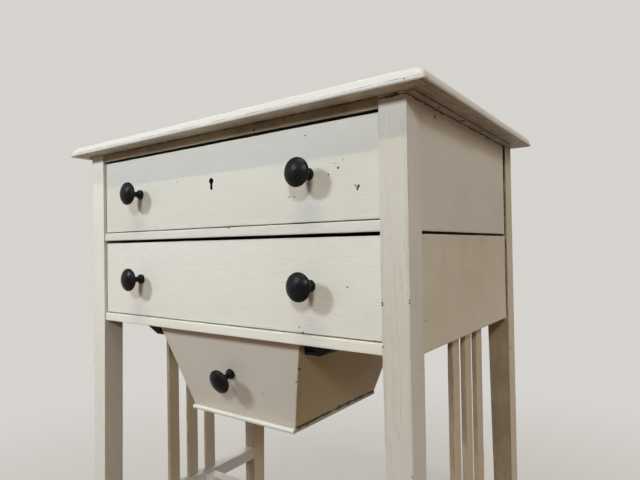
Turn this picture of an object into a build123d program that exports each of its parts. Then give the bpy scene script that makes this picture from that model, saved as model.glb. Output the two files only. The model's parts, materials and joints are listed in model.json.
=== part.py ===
from build123d import *
import math
import os

# Sewing table with two drawers and a hanging work box that slides under them.
# Millimetres, +Z up, front towards -Y. The origin is on the floor, in the middle of the overall
# width and of the overall depth, which runs from the knob heads to the back edge of the top.

# Overall sizes
overall_height = 747.0
frame_width = 508.0
frame_depth = 340.0

# Top board
top_thickness = 14.0
top_side_overhang = 26.0
top_front_overhang = 20.0
top_rear_overhang = 9.0
top_bead_height = 4.0
top_bead_radius = 2.6
top_quirk = 1.2
top_flat_above_bead = 0.6
top_strip_width = 7.0
top_strip_thickness = 2.5

# Legs, square at the head and tapered on the inside below the drawers
leg_size = 28.5
foot_width = 20.0

# Drawer rails across the front, and the openings between them
rail_thickness = 11.0
rail_depth = 45.0
rail_setback = 1.3
upper_opening = 102.5
lower_opening = 103.0

# Stub tenons and grooves
tenon_length = 10.0
tenon_thickness = 7.0
tenon_width = 16.0
joint_clearance = 0.1

# Side boards, two to a side, shrunk away from each other and from the rear legs
side_thickness = 17.0
side_board_gap = 2.4
side_rear_gap = 10.5
tongue_thickness = 6.0
tongue_length = 8.0
seam_tongue_height = 6.0

# Back panel
back_thickness = 8.0
back_inset = 8.0
back_tongue = 6.0

# Drawer runners with a raised guide, kickers and stops
runner_inner_width = 12.5
guide_height = 12.0
stop_length = 40.0
stop_depth = 18.0
stop_height = 6.0
stop_spacing = 240.0

# Drawers
drawer_setback = 4.0
drawer_side_gap = 1.0
drawer_top_gap = 3.3
drawer_bottom_gap = 1.1
drawer_rear_gap = 10.0
front_thickness = 19.0
drawer_side_thickness = 9.0
drawer_back_thickness = 9.0
drawer_back_drop = 6.0
drawer_bottom_thickness = 5.0
drawer_bottom_height = 9.0
groove_depth = 4.0
tail_count = 3
tail_length = 13.0
tail_neck_width = 17.0
tail_slope = math.tan(math.radians(9.5))
tail_margin = 8.0

# Knobs
knob_spacing = 284.0
knob_radius = 15.0
knob_reach = 27.5
knob_rim_reach = 20.6
knob_rim_radius = 2.4
knob_flare_reach = 18.5
knob_flare_radius = 13.7
knob_neck_radius = 3.5
knob_neck_end = 11.0
knob_cove_radius = 4.0
knob_cove_turn = 60.0
knob_collar_radius = 6.4
knob_collar_straight = 2.2
knob_collar_reach = 5.5
spigot_radius = 4.5
spigot_clearance = 0.05

# Lock of the upper drawer
keyhole_offset = -3.0
keyhole_drop = 43.0
keyhole_radius = 3.3
keyhole_slot_width = 3.2
keyhole_slot_reach = 10.7
lock_width = 52.0
lock_depth = 11.0
lock_height = 62.0
lock_plate_width = 68.0
lock_plate_thickness = 2.0
lock_wall = 2.2
bolt_width = 26.0
bolt_thickness = 5.0
bolt_height = 38.0
bolt_clearance = 0.3
bolt_travel = 8.0
bolt_drop = 0.5
bolt_end_gap = 2.3

# Work box, an open box with four sloping sides
box_gap = 1.5
box_height = 106.0
box_front_setback = 14.4
box_top_width = 236.0
box_bottom_width = 172.0
box_top_depth = 246.0
box_bottom_depth = 184.0
box_board_thickness = 8.0
box_bottom_thickness = 5.5
box_nosing = 4.0
box_knob_drop = 50.5
lip_width = 13.0
lip_height = 9.0
lip_front_gap = 3.0

# Runners that the work box hangs in
box_runner_setback = 24.0
box_runner_ledge = 4.7
box_runner_width = 29.0
box_runner_edge = 4.0
box_runner_foot = 6.0
box_runner_play = 0.4
box_ledge_gap = 1.7

# Side slats and the stretchers below
slat_thickness = 6.5
slat_width = 20.0
slat_pitch = 39.0
slat_from_inside = 2.5
slat_tenon = 8.0
stretcher_top = 206.0
stretcher_height = 20.0
stretcher_width = 20.5
cross_width = 20.0
cross_height = 17.0
cross_offset = 27.5

# Wood screws
screw_shank_radius = 1.8
screw_head_radius = 3.6
screw_head_height = 2.2
screw_bite = 8.0
screw_clearance = 0.1
top_screw_inset = 57.0
lock_screw_shank_radius = 1.1
lock_screw_head_radius = 2.2
lock_screw_length = 9.0
lock_screw_inset = 4.0
lock_screw_drop = 12.0

# Planes worked out from the sizes above
front_reach = max(top_front_overhang, knob_reach - drawer_setback)
overall_depth = front_reach + frame_depth + top_rear_overhang
leg_front = front_reach - overall_depth / 2
leg_back = leg_front + frame_depth
frame_middle = (leg_front + leg_back) / 2
half_width = frame_width / 2
leg_inside = half_width - leg_size
front_leg_back = leg_front + leg_size
rear_leg_front = leg_back - leg_size
leg_top = overall_height - top_thickness

top_rail_bottom = leg_top - rail_thickness
middle_rail_top = top_rail_bottom - upper_opening
middle_rail_bottom = middle_rail_top - rail_thickness
bottom_rail_top = middle_rail_bottom - lower_opening
bottom_rail_bottom = bottom_rail_top - rail_thickness

rail_front = leg_front + rail_setback
rail_back = rail_front + rail_depth
side_inside = half_width - side_thickness
back_panel_rear = leg_back - back_inset
back_panel_front = back_panel_rear - back_thickness
runner_inside = leg_inside - runner_inner_width

drawer_face = leg_front + drawer_setback
drawer_inner_face = drawer_face + front_thickness
drawer_rear = back_panel_front - drawer_rear_gap
drawer_half = leg_inside - drawer_side_gap
drawer_inside = drawer_half - drawer_side_thickness

keyhole_height = middle_rail_top + upper_opening - drawer_top_gap - keyhole_drop

box_top = bottom_rail_bottom - box_gap
box_floor = box_top - box_height
box_front = leg_front + box_front_setback
box_rear = box_front + box_top_depth
box_side_slope = (box_top_width - box_bottom_width) / 2 / box_height
box_end_slope = (box_top_depth - box_bottom_depth) / 2 / box_height
box_wall_across = box_board_thickness * math.hypot(1, box_side_slope)
box_wall_along = box_board_thickness * math.hypot(1, box_end_slope)
lip_bottom = box_top - lip_height
lip_outside = box_top_width / 2 + lip_width

slat_inner = side_inside + slat_from_inside
slat_outer = slat_inner + slat_thickness
stretcher_bottom = stretcher_top - stretcher_height
cross_middle = frame_middle + cross_offset


def leg_width_at(height):
    """Width of a leg from side to side at a height below the drawers."""
    return foot_width + (leg_size - foot_width) * height / bottom_rail_bottom


stretcher_inside = half_width - leg_width_at(stretcher_top)
stretcher_outside = stretcher_inside + stretcher_width


def block(x, y, z):
    """Rectangular piece between three pairs of coordinates."""
    corner = (Align.MIN, Align.MIN, Align.MIN)
    return Pos(x[0], y[0], z[0]) * Box(x[1] - x[0], y[1] - y[0], z[1] - z[0], align=corner)


def socket(x, y, z, gap=joint_clearance):
    """Room for a rectangular piece, with a clearance all round."""
    return block(*((low - gap, high + gap) for low, high in (x, y, z)))


def centred(middle, width):
    """Pair of coordinates either side of a middle."""
    return (middle - width / 2, middle + width / 2)


def outline_along_y(points, y):
    """Prism of an outline drawn in (x, z), between two depths."""
    plane = Plane(origin=(0, y[1], 0), x_dir=(1, 0, 0), z_dir=(0, -1, 0))
    return extrude(plane * Polygon(*points, align=None), y[1] - y[0], dir=(0, -1, 0))


def sloping(low_x, low_y, low_z, high_x, high_y, high_z):
    """Flat-faced solid between a lower and an upper rectangle."""
    low = [(low_x[i], low_y[j], low_z) for i, j in ((0, 0), (1, 0), (1, 1), (0, 1))]
    high = [(high_x[i], high_y[j], high_z) for i, j in ((0, 0), (1, 0), (1, 1), (0, 1))]
    rings = [low, high]
    for i in range(4):
        k = (i + 1) % 4
        rings.append([low[i], low[k], high[k], high[i]])
    return Solid(Shell([Face(Wire.make_polygon(ring)) for ring in rings]))


def upright(x, y, radius, z):
    """Round bar or hole along Z."""
    return Pos(x, y, z[0]) * Cylinder(radius, z[1] - z[0], align=(Align.CENTER, Align.CENTER, Align.MIN))


def level(x, z, radius, y):
    """Round bar or hole along Y."""
    bar = Cylinder(radius, y[1] - y[0], align=(Align.CENTER, Align.CENTER, Align.MIN))
    return Pos(x, y[1], z) * Rot(90, 0, 0) * bar


def both_sides(name, shape):
    """The right-hand piece and its mirror image on the left, as named nodes."""
    return {"right_" + name: shape, "left_" + name: mirror(shape, about=Plane.YZ)}


def grouped(solids):
    """Separate solids that share one node."""
    return Compound([s.solid() for s in solids])


# Positions of the fixings, as (x, y) on both sides
top_screw_places = [
    (side * (runner_inside + side_inside) / 2, y)
    for side in (-1, 1)
    for y in (rail_back + top_screw_inset, rear_leg_front - top_screw_inset)
]
rear_rail_front = back_panel_front - rail_depth
box_screw_x = lip_outside + box_runner_play + box_runner_width / 2
box_screw_places = [
    (side * box_screw_x, y)
    for side in (-1, 1)
    for y in ((leg_front + box_runner_setback + rail_back) / 2, rear_rail_front + rail_depth / 2)
]


def screw_hole(x, y, radius, z):
    """Clearance hole for a screw, along Z."""
    return upright(x, y, radius + screw_clearance, z)


def rising_screw(x, y, head_bottom, end):
    """Wood screw driven upwards, with a flat head."""
    head_top = head_bottom + screw_head_height
    head = upright(x, y, screw_head_radius, (head_bottom, head_top))
    return head + upright(x, y, screw_shank_radius, (head_top, end))


def top_pieces():
    """Top board with a moulded edge, a rounded bead below a quarter round, and strips under its ends."""
    reach = half_width + top_side_overhang
    top_y = (leg_front - top_front_overhang, leg_back + top_rear_overhang)
    quirk_z = leg_top + top_bead_height
    bead = block((-reach, reach), top_y, (leg_top, quirk_z))
    bead = fillet(bead.faces().sort_by(Axis.Z)[0].edges(), top_bead_radius)
    upper_x = (-reach + top_quirk, reach - top_quirk)
    upper_y = (top_y[0] + top_quirk, top_y[1] - top_quirk)
    upper = block(upper_x, upper_y, (quirk_z, overall_height))
    round_radius = top_thickness - top_bead_height - top_flat_above_bead
    upper = fillet(upper.faces().sort_by(Axis.Z)[-1].edges(), round_radius)
    board = bead + upper
    for x, y in top_screw_places:
        board -= screw_hole(x, y, screw_shank_radius, (leg_top, leg_top + screw_bite + screw_clearance))
    strip_x = (half_width, half_width + top_strip_width)
    strip = block(strip_x, (leg_front, rear_leg_front), (leg_top - top_strip_thickness, leg_top))
    strips = [strip, mirror(strip, about=Plane.YZ)]
    return {"top_board": board, "top_strips": grouped(strips)}


def rail_tenon(z):
    """Right-hand stub tenon of a front rail whose lower and upper faces are at z."""
    y = centred(leg_front + leg_size / 2, tenon_width)
    return (leg_inside, leg_inside + tenon_length), y, centred((z[0] + z[1]) / 2, tenon_thickness)


def stretcher_tenons():
    """Tenons of the right-hand stretcher, in the front leg and in the rear leg."""
    x = centred((stretcher_inside + stretcher_outside) / 2, tenon_thickness)
    z = centred((stretcher_top + stretcher_bottom) / 2, stretcher_height - tenon_thickness)
    front = (x, (front_leg_back - tenon_length, front_leg_back), z)
    rear = (x, (rear_leg_front, rear_leg_front + tenon_length), z)
    return front, rear


def tongue_x():
    """Sides of the tongues on the right-hand side boards."""
    return centred(side_inside + side_thickness / 2, tongue_thickness)


rail_levels = {
    "top_rail": (top_rail_bottom, leg_top),
    "middle_rail": (middle_rail_bottom, middle_rail_top),
    "bottom_rail": (bottom_rail_bottom, bottom_rail_top),
}


def leg_pieces():
    """Four legs, grooved for the side boards and the back, and mortised for rails and stretchers."""
    outline = [
        (half_width, 0),
        (half_width, leg_top),
        (leg_inside, leg_top),
        (leg_inside, bottom_rail_bottom),
        (half_width - foot_width, 0),
    ]
    front_tenon, rear_tenon = stretcher_tenons()
    groove_z = (bottom_rail_bottom, leg_top + joint_clearance)

    front_leg = outline_along_y(outline, (leg_front, front_leg_back))
    front_leg -= socket(tongue_x(), (front_leg_back - tongue_length, front_leg_back), groove_z)
    front_leg -= socket(*front_tenon)
    for z in rail_levels.values():
        front_leg -= socket(*rail_tenon(z))

    rear_leg = outline_along_y(outline, (rear_leg_front, leg_back))
    rear_leg -= socket(tongue_x(), (rear_leg_front, rear_leg_front + tongue_length), groove_z)
    rear_leg -= socket(*rear_tenon)
    panel_x = (leg_inside, leg_inside + back_tongue)
    rear_leg -= socket(panel_x, (back_panel_front, back_panel_rear), groove_z)
    return {**both_sides("front_leg", front_leg), **both_sides("rear_leg", rear_leg)}


def bolt_place():
    """Sides, faces and ends of the lock bolt when it is drawn back."""
    y = centred(drawer_inner_face - lock_plate_thickness - lock_wall - bolt_thickness / 2, bolt_thickness)
    top = middle_rail_top + upper_opening - drawer_top_gap - bolt_drop
    return centred(keyhole_offset, bolt_width), y, (top - bolt_height, top)


def rail_pieces():
    """Front rails laid flat between the legs, and the rear rail under the lower drawer."""
    nodes = {}
    for name, z in rail_levels.items():
        rail = block((-leg_inside, leg_inside), (rail_front, rail_back), z)
        tenon = block(*rail_tenon(z))
        nodes[name] = rail + tenon + mirror(tenon, about=Plane.YZ)
    bolt_x, bolt_y, bolt_z = bolt_place()
    bolt_room = (top_rail_bottom, bolt_z[1] + bolt_travel + bolt_end_gap)
    nodes["top_rail"] -= socket(bolt_x, bolt_y, bolt_room, bolt_clearance)
    rear_y = (rear_rail_front, back_panel_front)
    rear = block((-runner_inside, runner_inside), rear_y, rail_levels["bottom_rail"])
    pilot = (bottom_rail_bottom, bottom_rail_bottom + screw_bite + screw_clearance)
    for x, y in box_screw_places:
        hole = screw_hole(x, y, screw_shank_radius, pilot)
        nodes["bottom_rail"] -= hole
        rear -= hole
    nodes["rear_rail"] = rear
    return nodes


def slat_places():
    """Middles of the three slats on each side, from front to back."""
    return {"front": frame_middle - slat_pitch, "middle": frame_middle, "rear": frame_middle + slat_pitch}


def slat_span(y):
    """Sides of a right-hand slat, which is let into the side board above and the stretcher below."""
    z = (stretcher_top - slat_tenon, bottom_rail_bottom + slat_tenon)
    return (slat_inner, slat_outer), centred(y, slat_width), z


def side_pieces():
    """Two boards to a side, flush with the legs, tongued into them and each other, and the back panel."""
    lower_top = middle_rail_bottom - side_board_gap
    levels = {
        "upper_side_board": (middle_rail_bottom, leg_top),
        "lower_side_board": (bottom_rail_bottom, lower_top),
    }
    board_end = rear_leg_front - side_rear_gap
    seam_tongue = (tongue_x(), (front_leg_back, board_end), (lower_top, lower_top + seam_tongue_height))
    nodes = {}
    for name, z in levels.items():
        board = block((side_inside, half_width), (front_leg_back, board_end), z)
        board += block(tongue_x(), (front_leg_back - tongue_length, front_leg_back), z)
        board += block(tongue_x(), (board_end, rear_leg_front + tongue_length), z)
        if name == "upper_side_board":
            board -= socket(*seam_tongue)
        else:
            board += block(*seam_tongue)
            for y in slat_places().values():
                board -= socket(*slat_span(y))
        nodes.update(both_sides(name, board))
    panel_x = (-leg_inside - back_tongue, leg_inside + back_tongue)
    panel_y = (back_panel_front, back_panel_rear)
    nodes["back_panel"] = block(panel_x, panel_y, (bottom_rail_bottom, leg_top))
    return nodes


def runner_pieces():
    """Rebated runners that carry and guide the drawers, kickers above them, and drawer stops."""
    nodes = {}
    for name, rail in (("upper_runner", "middle_rail"), ("lower_runner", "bottom_rail")):
        z = rail_levels[rail]
        runner = block((runner_inside, side_inside), (rail_back, rear_leg_front), z)
        guide_z = (z[1], z[1] + guide_height)
        runner += block((leg_inside, side_inside), (front_leg_back, rear_leg_front), guide_z)
        nodes.update(both_sides(name, runner))

    kicker = block((runner_inside, side_inside), (rail_back, rear_leg_front), rail_levels["top_rail"])
    head_room = (top_rail_bottom, top_rail_bottom + screw_head_height)
    for x, y in top_screw_places:
        kicker -= screw_hole(x, y, screw_shank_radius, rail_levels["top_rail"])
        kicker -= screw_hole(x, y, screw_head_radius, head_room)
    nodes.update(both_sides("kicker", kicker))

    stops = []
    stop_y = (drawer_inner_face, drawer_inner_face + stop_depth)
    for z in (middle_rail_top, bottom_rail_top):
        for side in (-1, 1):
            stops.append(block(centred(side * stop_spacing / 2, stop_length), stop_y, (z, z + stop_height)))
    nodes["drawer_stops"] = grouped(stops)

    screws = [rising_screw(x, y, top_rail_bottom, leg_top + screw_bite) for x, y in top_screw_places]
    nodes["top_screws"] = grouped(screws)
    return nodes


def base_pieces():
    """Side stretchers, the cross stretcher between them, and the slats that stand on them."""
    front_tenon, rear_tenon = stretcher_tenons()
    x = (stretcher_inside, stretcher_outside)
    stretcher = block(x, (front_leg_back, rear_leg_front), (stretcher_bottom, stretcher_top))
    stretcher += block(*front_tenon) + block(*rear_tenon)
    cross_z = (stretcher_bottom, stretcher_bottom + cross_height)
    tenon_x = (stretcher_inside, stretcher_inside + tenon_length)
    tenon_z = centred(stretcher_bottom + cross_height / 2, tenon_thickness)
    cross_tenon = (tenon_x, centred(cross_middle, tenon_thickness), tenon_z)
    stretcher -= socket(*cross_tenon)
    nodes = {}
    for place, y in slat_places().items():
        slat = block(*slat_span(y))
        stretcher -= socket(*slat_span(y))
        nodes.update(both_sides(place + "_slat", slat))
    nodes.update(both_sides("stretcher", stretcher))
    cross = block((-stretcher_inside, stretcher_inside), centred(cross_middle, cross_width), cross_z)
    tenon = block(*cross_tenon)
    nodes["cross_stretcher"] = cross + tenon + mirror(tenon, about=Plane.YZ)
    return nodes


def knob(spigot_length):
    """Turned mushroom knob along +Z, with its collar on z = 0 and its spigot below."""
    base = Polyline(
        (0, -spigot_length),
        (spigot_radius, -spigot_length),
        (spigot_radius, 0),
        (knob_collar_radius, 0),
        (knob_collar_radius, knob_collar_straight),
    )
    collar_end = (knob_neck_radius, knob_collar_reach)
    neck_end = (knob_neck_radius, knob_neck_end)
    flare = (knob_flare_radius, knob_flare_reach)
    rim = (knob_radius, knob_rim_reach)
    crown = (0, knob_reach)
    cove = JernArc(neck_end, (0, 1), knob_cove_radius, -knob_cove_turn)
    rim_centre = knob_radius - knob_rim_radius
    dome_height = knob_reach - knob_rim_reach
    dome_radius = (rim_centre**2 + dome_height**2 - knob_rim_radius**2) / 2 / (dome_height - knob_rim_radius)
    lean = math.asin(rim_centre / (dome_radius - knob_rim_radius))
    shoulder = (dome_radius * math.sin(lean), knob_reach - dome_radius * (1 - math.cos(lean)))
    outline = base + TangentArc(base @ 1, collar_end, tangent=(-0.25, 1))
    outline += Line(collar_end, neck_end)
    outline += cove
    outline += Line(cove @ 1, flare)
    outline += TangentArc(rim, flare, tangent=(0, -1))
    outline += TangentArc(rim, shoulder, tangent=(0, 1))
    outline += TangentArc(shoulder, crown, tangent=(-math.cos(lean), math.sin(lean)))
    outline += Line(crown, (0, -spigot_length))
    return revolve(Plane.XZ * make_face(outline), Axis.Z)


def dovetails(z):
    """Tails at the front end of the right-hand drawer side, between two heights."""
    tails = []
    end = drawer_inner_face - tail_length
    neck = tail_neck_width / 2
    wide = neck + tail_length * tail_slope
    first = z[0] + tail_margin + wide
    step = (z[1] - tail_margin - wide - first) / (tail_count - 1)
    plane = Plane(origin=(drawer_inside, 0, 0), x_dir=(0, 1, 0), z_dir=(1, 0, 0))
    for i in range(tail_count):
        middle = first + i * step
        points = [
            (drawer_inner_face, middle - neck),
            (drawer_inner_face, middle + neck),
            (end, middle + wide),
            (end, middle - wide),
        ]
        tails.append(extrude(plane * Polygon(*points, align=None), drawer_side_thickness, dir=(1, 0, 0)))
    return tails


def keyhole(y):
    """Round hole with a slot below it."""
    hole = level(keyhole_offset, keyhole_height, keyhole_radius, y)
    slot_end = keyhole_height - keyhole_slot_reach + keyhole_slot_width / 2
    hole += block(centred(keyhole_offset, keyhole_slot_width), y, (slot_end, keyhole_height))
    return hole + level(keyhole_offset, slot_end, keyhole_slot_width / 2, y)


def lock_spans(top):
    """Case and plate of the lock, hung from the upper edge of the drawer front."""
    case_y = (drawer_inner_face - lock_depth, drawer_inner_face)
    plate_y = (drawer_inner_face - lock_plate_thickness, drawer_inner_face)
    z = (top - lock_height, top)
    case = (centred(keyhole_offset, lock_width), case_y, z)
    plate = (centred(keyhole_offset, lock_plate_width), plate_y, z)
    return case, plate


def lock_screw_places(top):
    """Four screws through the plate, beside the case."""
    reach = lock_plate_width / 2 - lock_screw_inset
    heights = (top - lock_screw_drop, top - lock_height + lock_screw_drop)
    return [(keyhole_offset + side * reach, z) for side in (-1, 1) for z in heights]


def lock_pieces(top):
    """Lock case with its plate, the bolt inside it and the screws that hold it."""
    case_span, plate_span = lock_spans(top)
    case = block(*case_span) + block(*plate_span)
    bolt_x, bolt_y, bolt_z = bolt_place()
    room_z = (top - lock_height + lock_wall, top)
    case -= socket(bolt_x, bolt_y, room_z, bolt_clearance)
    case -= keyhole((case_span[1][0] - bolt_clearance, bolt_y[0]))
    plate_y = plate_span[1]
    tip = plate_y[1] - lock_screw_length
    screws = []
    for x, z in lock_screw_places(top):
        case -= level(x, z, lock_screw_head_radius + screw_clearance, plate_y)
        screw = level(x, z, lock_screw_head_radius, plate_y)
        screws.append(screw + level(x, z, lock_screw_shank_radius, (tip, plate_y[0])))
    return {"lock_case": case, "lock_bolt": block(bolt_x, bolt_y, bolt_z), "lock_screws": grouped(screws)}


def drawer_pieces(name, opening_bottom, opening_height):
    """Drawer with lapped dovetails at the front, a grooved-in bottom and two knobs."""
    top = opening_bottom + opening_height - drawer_top_gap
    side_z = (opening_bottom, top)
    front_z = (opening_bottom + drawer_bottom_gap, top)
    bottom_z = (opening_bottom + drawer_bottom_height,
                opening_bottom + drawer_bottom_height + drawer_bottom_thickness)
    knob_z = (front_z[0] + front_z[1]) / 2
    bottom_x = (-drawer_inside - groove_depth, drawer_inside + groove_depth)
    bottom_span = (bottom_x, (drawer_inner_face - groove_depth, drawer_rear), bottom_z)

    tails = dovetails(front_z)
    side = block((drawer_inside, drawer_half), (drawer_inner_face, drawer_rear), side_z)
    for tail in tails:
        side += tail
    side -= socket(*bottom_span)

    front = block((-drawer_half, drawer_half), (drawer_face, drawer_inner_face), front_z)
    for tail in tails:
        front -= tail
        front -= mirror(tail, about=Plane.YZ)
    front -= socket(*bottom_span)
    nodes = {}
    for side_name, x in (("left", -knob_spacing / 2), ("right", knob_spacing / 2)):
        hole_radius = spigot_radius + spigot_clearance
        front -= level(x, knob_z, hole_radius, (drawer_face, drawer_inner_face))
        place = Pos(x, drawer_face, knob_z) * Rot(90, 0, 0)
        nodes[name + "_" + side_name + "_knob"] = place * knob(front_thickness)

    back_y = (drawer_rear - drawer_back_thickness, drawer_rear)
    back_z = (bottom_z[1] + joint_clearance, top - drawer_back_drop)
    nodes[name + "_front"] = front
    nodes[name + "_right_side"] = side
    nodes[name + "_left_side"] = mirror(side, about=Plane.YZ)
    nodes[name + "_back"] = block((-drawer_inside, drawer_inside), back_y, back_z)
    nodes[name + "_bottom"] = block(*bottom_span)
    return nodes


def upper_drawer_pieces():
    """Upper drawer, with a lock let into the back of its front."""
    nodes = drawer_pieces("upper_drawer", middle_rail_top, upper_opening)
    top = middle_rail_top + upper_opening - drawer_top_gap
    lock = lock_pieces(top)
    case_span, plate_span = lock_spans(top)
    front = nodes["upper_drawer_front"]
    front -= socket(*case_span)
    front -= socket(*plate_span)
    front -= keyhole((drawer_face, case_span[1][0]))
    tip = drawer_inner_face - lock_screw_length
    for x, z in lock_screw_places(top):
        hole_radius = lock_screw_shank_radius + screw_clearance
        front -= level(x, z, hole_radius, (tip - screw_clearance, drawer_inner_face))
    nodes["upper_drawer_front"] = front
    return {**nodes, **lock}


def box_rectangle(height):
    """Outside of the work box at a height: its half width, its front and its rear."""
    fall = box_top - height
    return (box_top_width / 2 - fall * box_side_slope,
            box_front + fall * box_end_slope,
            box_rear - fall * box_end_slope)


def work_box_pieces():
    """Work box: front and back boards, two sides between them, a bottom and two lips to hang by."""
    low_half, low_front, low_rear = box_rectangle(box_floor)
    high_half, high_front, high_rear = box_rectangle(box_top)
    low_x = (-low_half, low_half)
    high_x = (-high_half, high_half)
    along = box_wall_along
    across = box_wall_across
    front = sloping(low_x, (low_front, low_front + along), box_floor,
                    high_x, (high_front, high_front + along), box_top)
    back = sloping(low_x, (low_rear - along, low_rear), box_floor,
                   high_x, (high_rear - along, high_rear), box_top)
    side = sloping((low_half - across, low_half), (low_front + along, low_rear - along), box_floor,
                   (high_half - across, high_half), (high_front + along, high_rear - along), box_top)

    bottom_z = (box_floor - box_bottom_thickness, box_floor)
    bottom = block(low_x, (low_front - box_nosing, low_rear), bottom_z)
    nose = bottom.edges().filter_by(Axis.X).group_by(Axis.Y)[0]
    bottom = fillet(nose, box_bottom_thickness / 2 - joint_clearance)

    lean = math.degrees(math.atan(box_end_slope))
    knob_z = box_top - box_knob_drop
    knob_place = Pos(0, box_rectangle(knob_z)[1], knob_z) * Rot(90 + lean, 0, 0)
    hole = Cylinder(spigot_radius + spigot_clearance, 4 * box_board_thickness)
    front -= knob_place * hole

    lip_low = box_rectangle(lip_bottom)
    lip_y = (high_front + along + lip_front_gap, high_rear - along)
    lip = sloping((lip_low[0], lip_outside), lip_y, lip_bottom, (high_half, lip_outside), lip_y, box_top)
    return {
        "box_front": front,
        "box_back": back,
        **both_sides("box_side", side),
        "box_bottom": bottom,
        **both_sides("box_lip", lip),
        "box_knob": knob_place * knob(box_board_thickness),
    }


def box_runner_pieces():
    """Rebated runners under the drawers that carry the lips of the work box, and their screws."""
    ledge_inside = box_rectangle(lip_bottom)[0] + box_ledge_gap
    channel = lip_outside + box_runner_play
    outside = channel + box_runner_width
    foot = lip_bottom - box_runner_ledge
    outline = [
        (channel, bottom_rail_bottom),
        (outside, bottom_rail_bottom),
        (outside, bottom_rail_bottom - box_runner_edge),
        (channel + box_runner_foot, foot),
        (ledge_inside, foot),
        (ledge_inside, lip_bottom),
        (channel, lip_bottom),
    ]
    runner = outline_along_y(outline, (leg_front + box_runner_setback, back_panel_front))
    head_bottom = bottom_rail_bottom - box_runner_edge - screw_head_height
    through = (foot, bottom_rail_bottom)
    for x, y in box_screw_places:
        runner -= screw_hole(x, y, screw_shank_radius, through)
        runner -= screw_hole(x, y, screw_head_radius, (foot, head_bottom + screw_head_height))
    end = bottom_rail_bottom + screw_bite
    screws = [rising_screw(x, y, head_bottom, end) for x, y in box_screw_places]
    return {**both_sides("box_runner", runner), "box_runner_screws": grouped(screws)}


def all_pieces():
    """Every piece of the table, by node name."""
    nodes = {}
    for group in (
        top_pieces(),
        leg_pieces(),
        rail_pieces(),
        side_pieces(),
        runner_pieces(),
        base_pieces(),
        upper_drawer_pieces(),
        drawer_pieces("lower_drawer", bottom_rail_top, lower_opening),
        work_box_pieces(),
        box_runner_pieces(),
    ):
        nodes.update(group)
    return nodes


os.makedirs("parts", exist_ok=True)
for node_name, piece in all_pieces().items():
    export_step(piece, "parts/" + node_name + ".step")
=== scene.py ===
import json
import math

import bmesh
import bpy
from bpy.props import FloatProperty, FloatVectorProperty, PointerProperty
from mathutils import Matrix, Vector, noise


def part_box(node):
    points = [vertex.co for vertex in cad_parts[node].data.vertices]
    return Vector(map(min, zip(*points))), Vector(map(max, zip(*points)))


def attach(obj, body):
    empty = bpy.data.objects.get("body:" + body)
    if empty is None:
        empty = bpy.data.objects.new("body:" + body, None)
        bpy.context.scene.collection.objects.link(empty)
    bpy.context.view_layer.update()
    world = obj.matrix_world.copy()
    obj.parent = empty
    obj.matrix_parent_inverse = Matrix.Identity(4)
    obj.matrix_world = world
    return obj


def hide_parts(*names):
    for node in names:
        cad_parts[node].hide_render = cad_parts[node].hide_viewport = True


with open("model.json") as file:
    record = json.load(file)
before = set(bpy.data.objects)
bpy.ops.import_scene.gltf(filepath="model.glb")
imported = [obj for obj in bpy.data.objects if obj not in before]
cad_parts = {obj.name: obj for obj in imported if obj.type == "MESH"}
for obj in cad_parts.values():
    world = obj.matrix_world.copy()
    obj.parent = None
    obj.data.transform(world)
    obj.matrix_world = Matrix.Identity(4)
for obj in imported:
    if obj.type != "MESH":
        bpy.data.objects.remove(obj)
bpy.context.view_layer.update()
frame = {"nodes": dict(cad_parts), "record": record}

bl_info = {
    "name": "Sewing Table",
    "version": (1, 0, 0),
    "blender": (4, 5, 0),
    "location": "3D View > Sidebar > Sewing Table",
    "description": "Cream-painted sewing table with two drawers and a hanging work box",
    "category": "Object",
}

RECORD = frame["record"]
BODY_OF = {node: body for body, nodes in RECORD["behaviour"]["bodies"].items() for node in nodes}
MM = 0.001
SIDES = ("left", "right")


# Settings

def colour_setting(name, description, default):
    return FloatVectorProperty(
        name=name, description=description, default=default, subtype="COLOR", min=0, max=1)


def share_setting(name, description, default):
    return FloatProperty(
        name=name, description=description, default=default, subtype="FACTOR", min=0, max=1)


def length_setting(name, description, default, least, most):
    return FloatProperty(
        name=name, description=description, default=default, unit="LENGTH", min=least, max=most)


def power_setting(name, description, default):
    return FloatProperty(name=name, description=description, default=default, unit="POWER", min=0)


class PaintSettings(bpy.types.PropertyGroup):
    """Cream paint on the woodwork"""

    cream: colour_setting("Cream", "Colour of the paint", (0.70, 0.685, 0.625))
    faded: colour_setting("Faded cream", "Colour where the paint has yellowed", (0.645, 0.615, 0.53))
    # Painted shade with soiling: this brown darkens paint that lies in shade, under the top, in gaps and
    # low at the back
    shaded_grime_colour: colour_setting("Grime", "Colour of the soiled paint under the top", (0.26, 0.20, 0.13))
    # Soiling in joints; the same colour paints shade lines in the quirk of the top and in gaps
    dirt_and_shade: colour_setting("Joint dirt", "Colour of the dirt where pieces meet", (0.045, 0.032, 0.020))
    bare: colour_setting("Wood under the paint", "Colour in chips", (0.02, 0.016, 0.013))
    roughness: share_setting("Roughness", "Roughness of the paint film", 0.45)
    relief: length_setting("Grain relief", "Depth of the wood grain in the paint", 0.00004, 0, 0.002)
    wear: share_setting("Edge wear", "How much paint has chipped off the edges", 0.17)


class WoodSettings(bpy.types.PropertyGroup):
    """Unpainted wood inside the table"""

    light: colour_setting("Light grain", "Pale wood between the grain lines", (0.42, 0.275, 0.155))
    dark: colour_setting("Dark grain", "Grain lines", (0.235, 0.135, 0.066))
    roughness: share_setting("Roughness", "Roughness of dry wood", 0.62)


class BlackSettings(bpy.types.PropertyGroup):
    """Black knobs and runners"""

    black: colour_setting("Black", "Colour of the knobs and runners", (0.0030, 0.0033, 0.0038))
    rubbed: colour_setting("Rubbed", "Brown wood where hands wore the black", (0.045, 0.030, 0.018))
    roughness: share_setting("Roughness", "Roughness of the black finish", 0.27)


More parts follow.
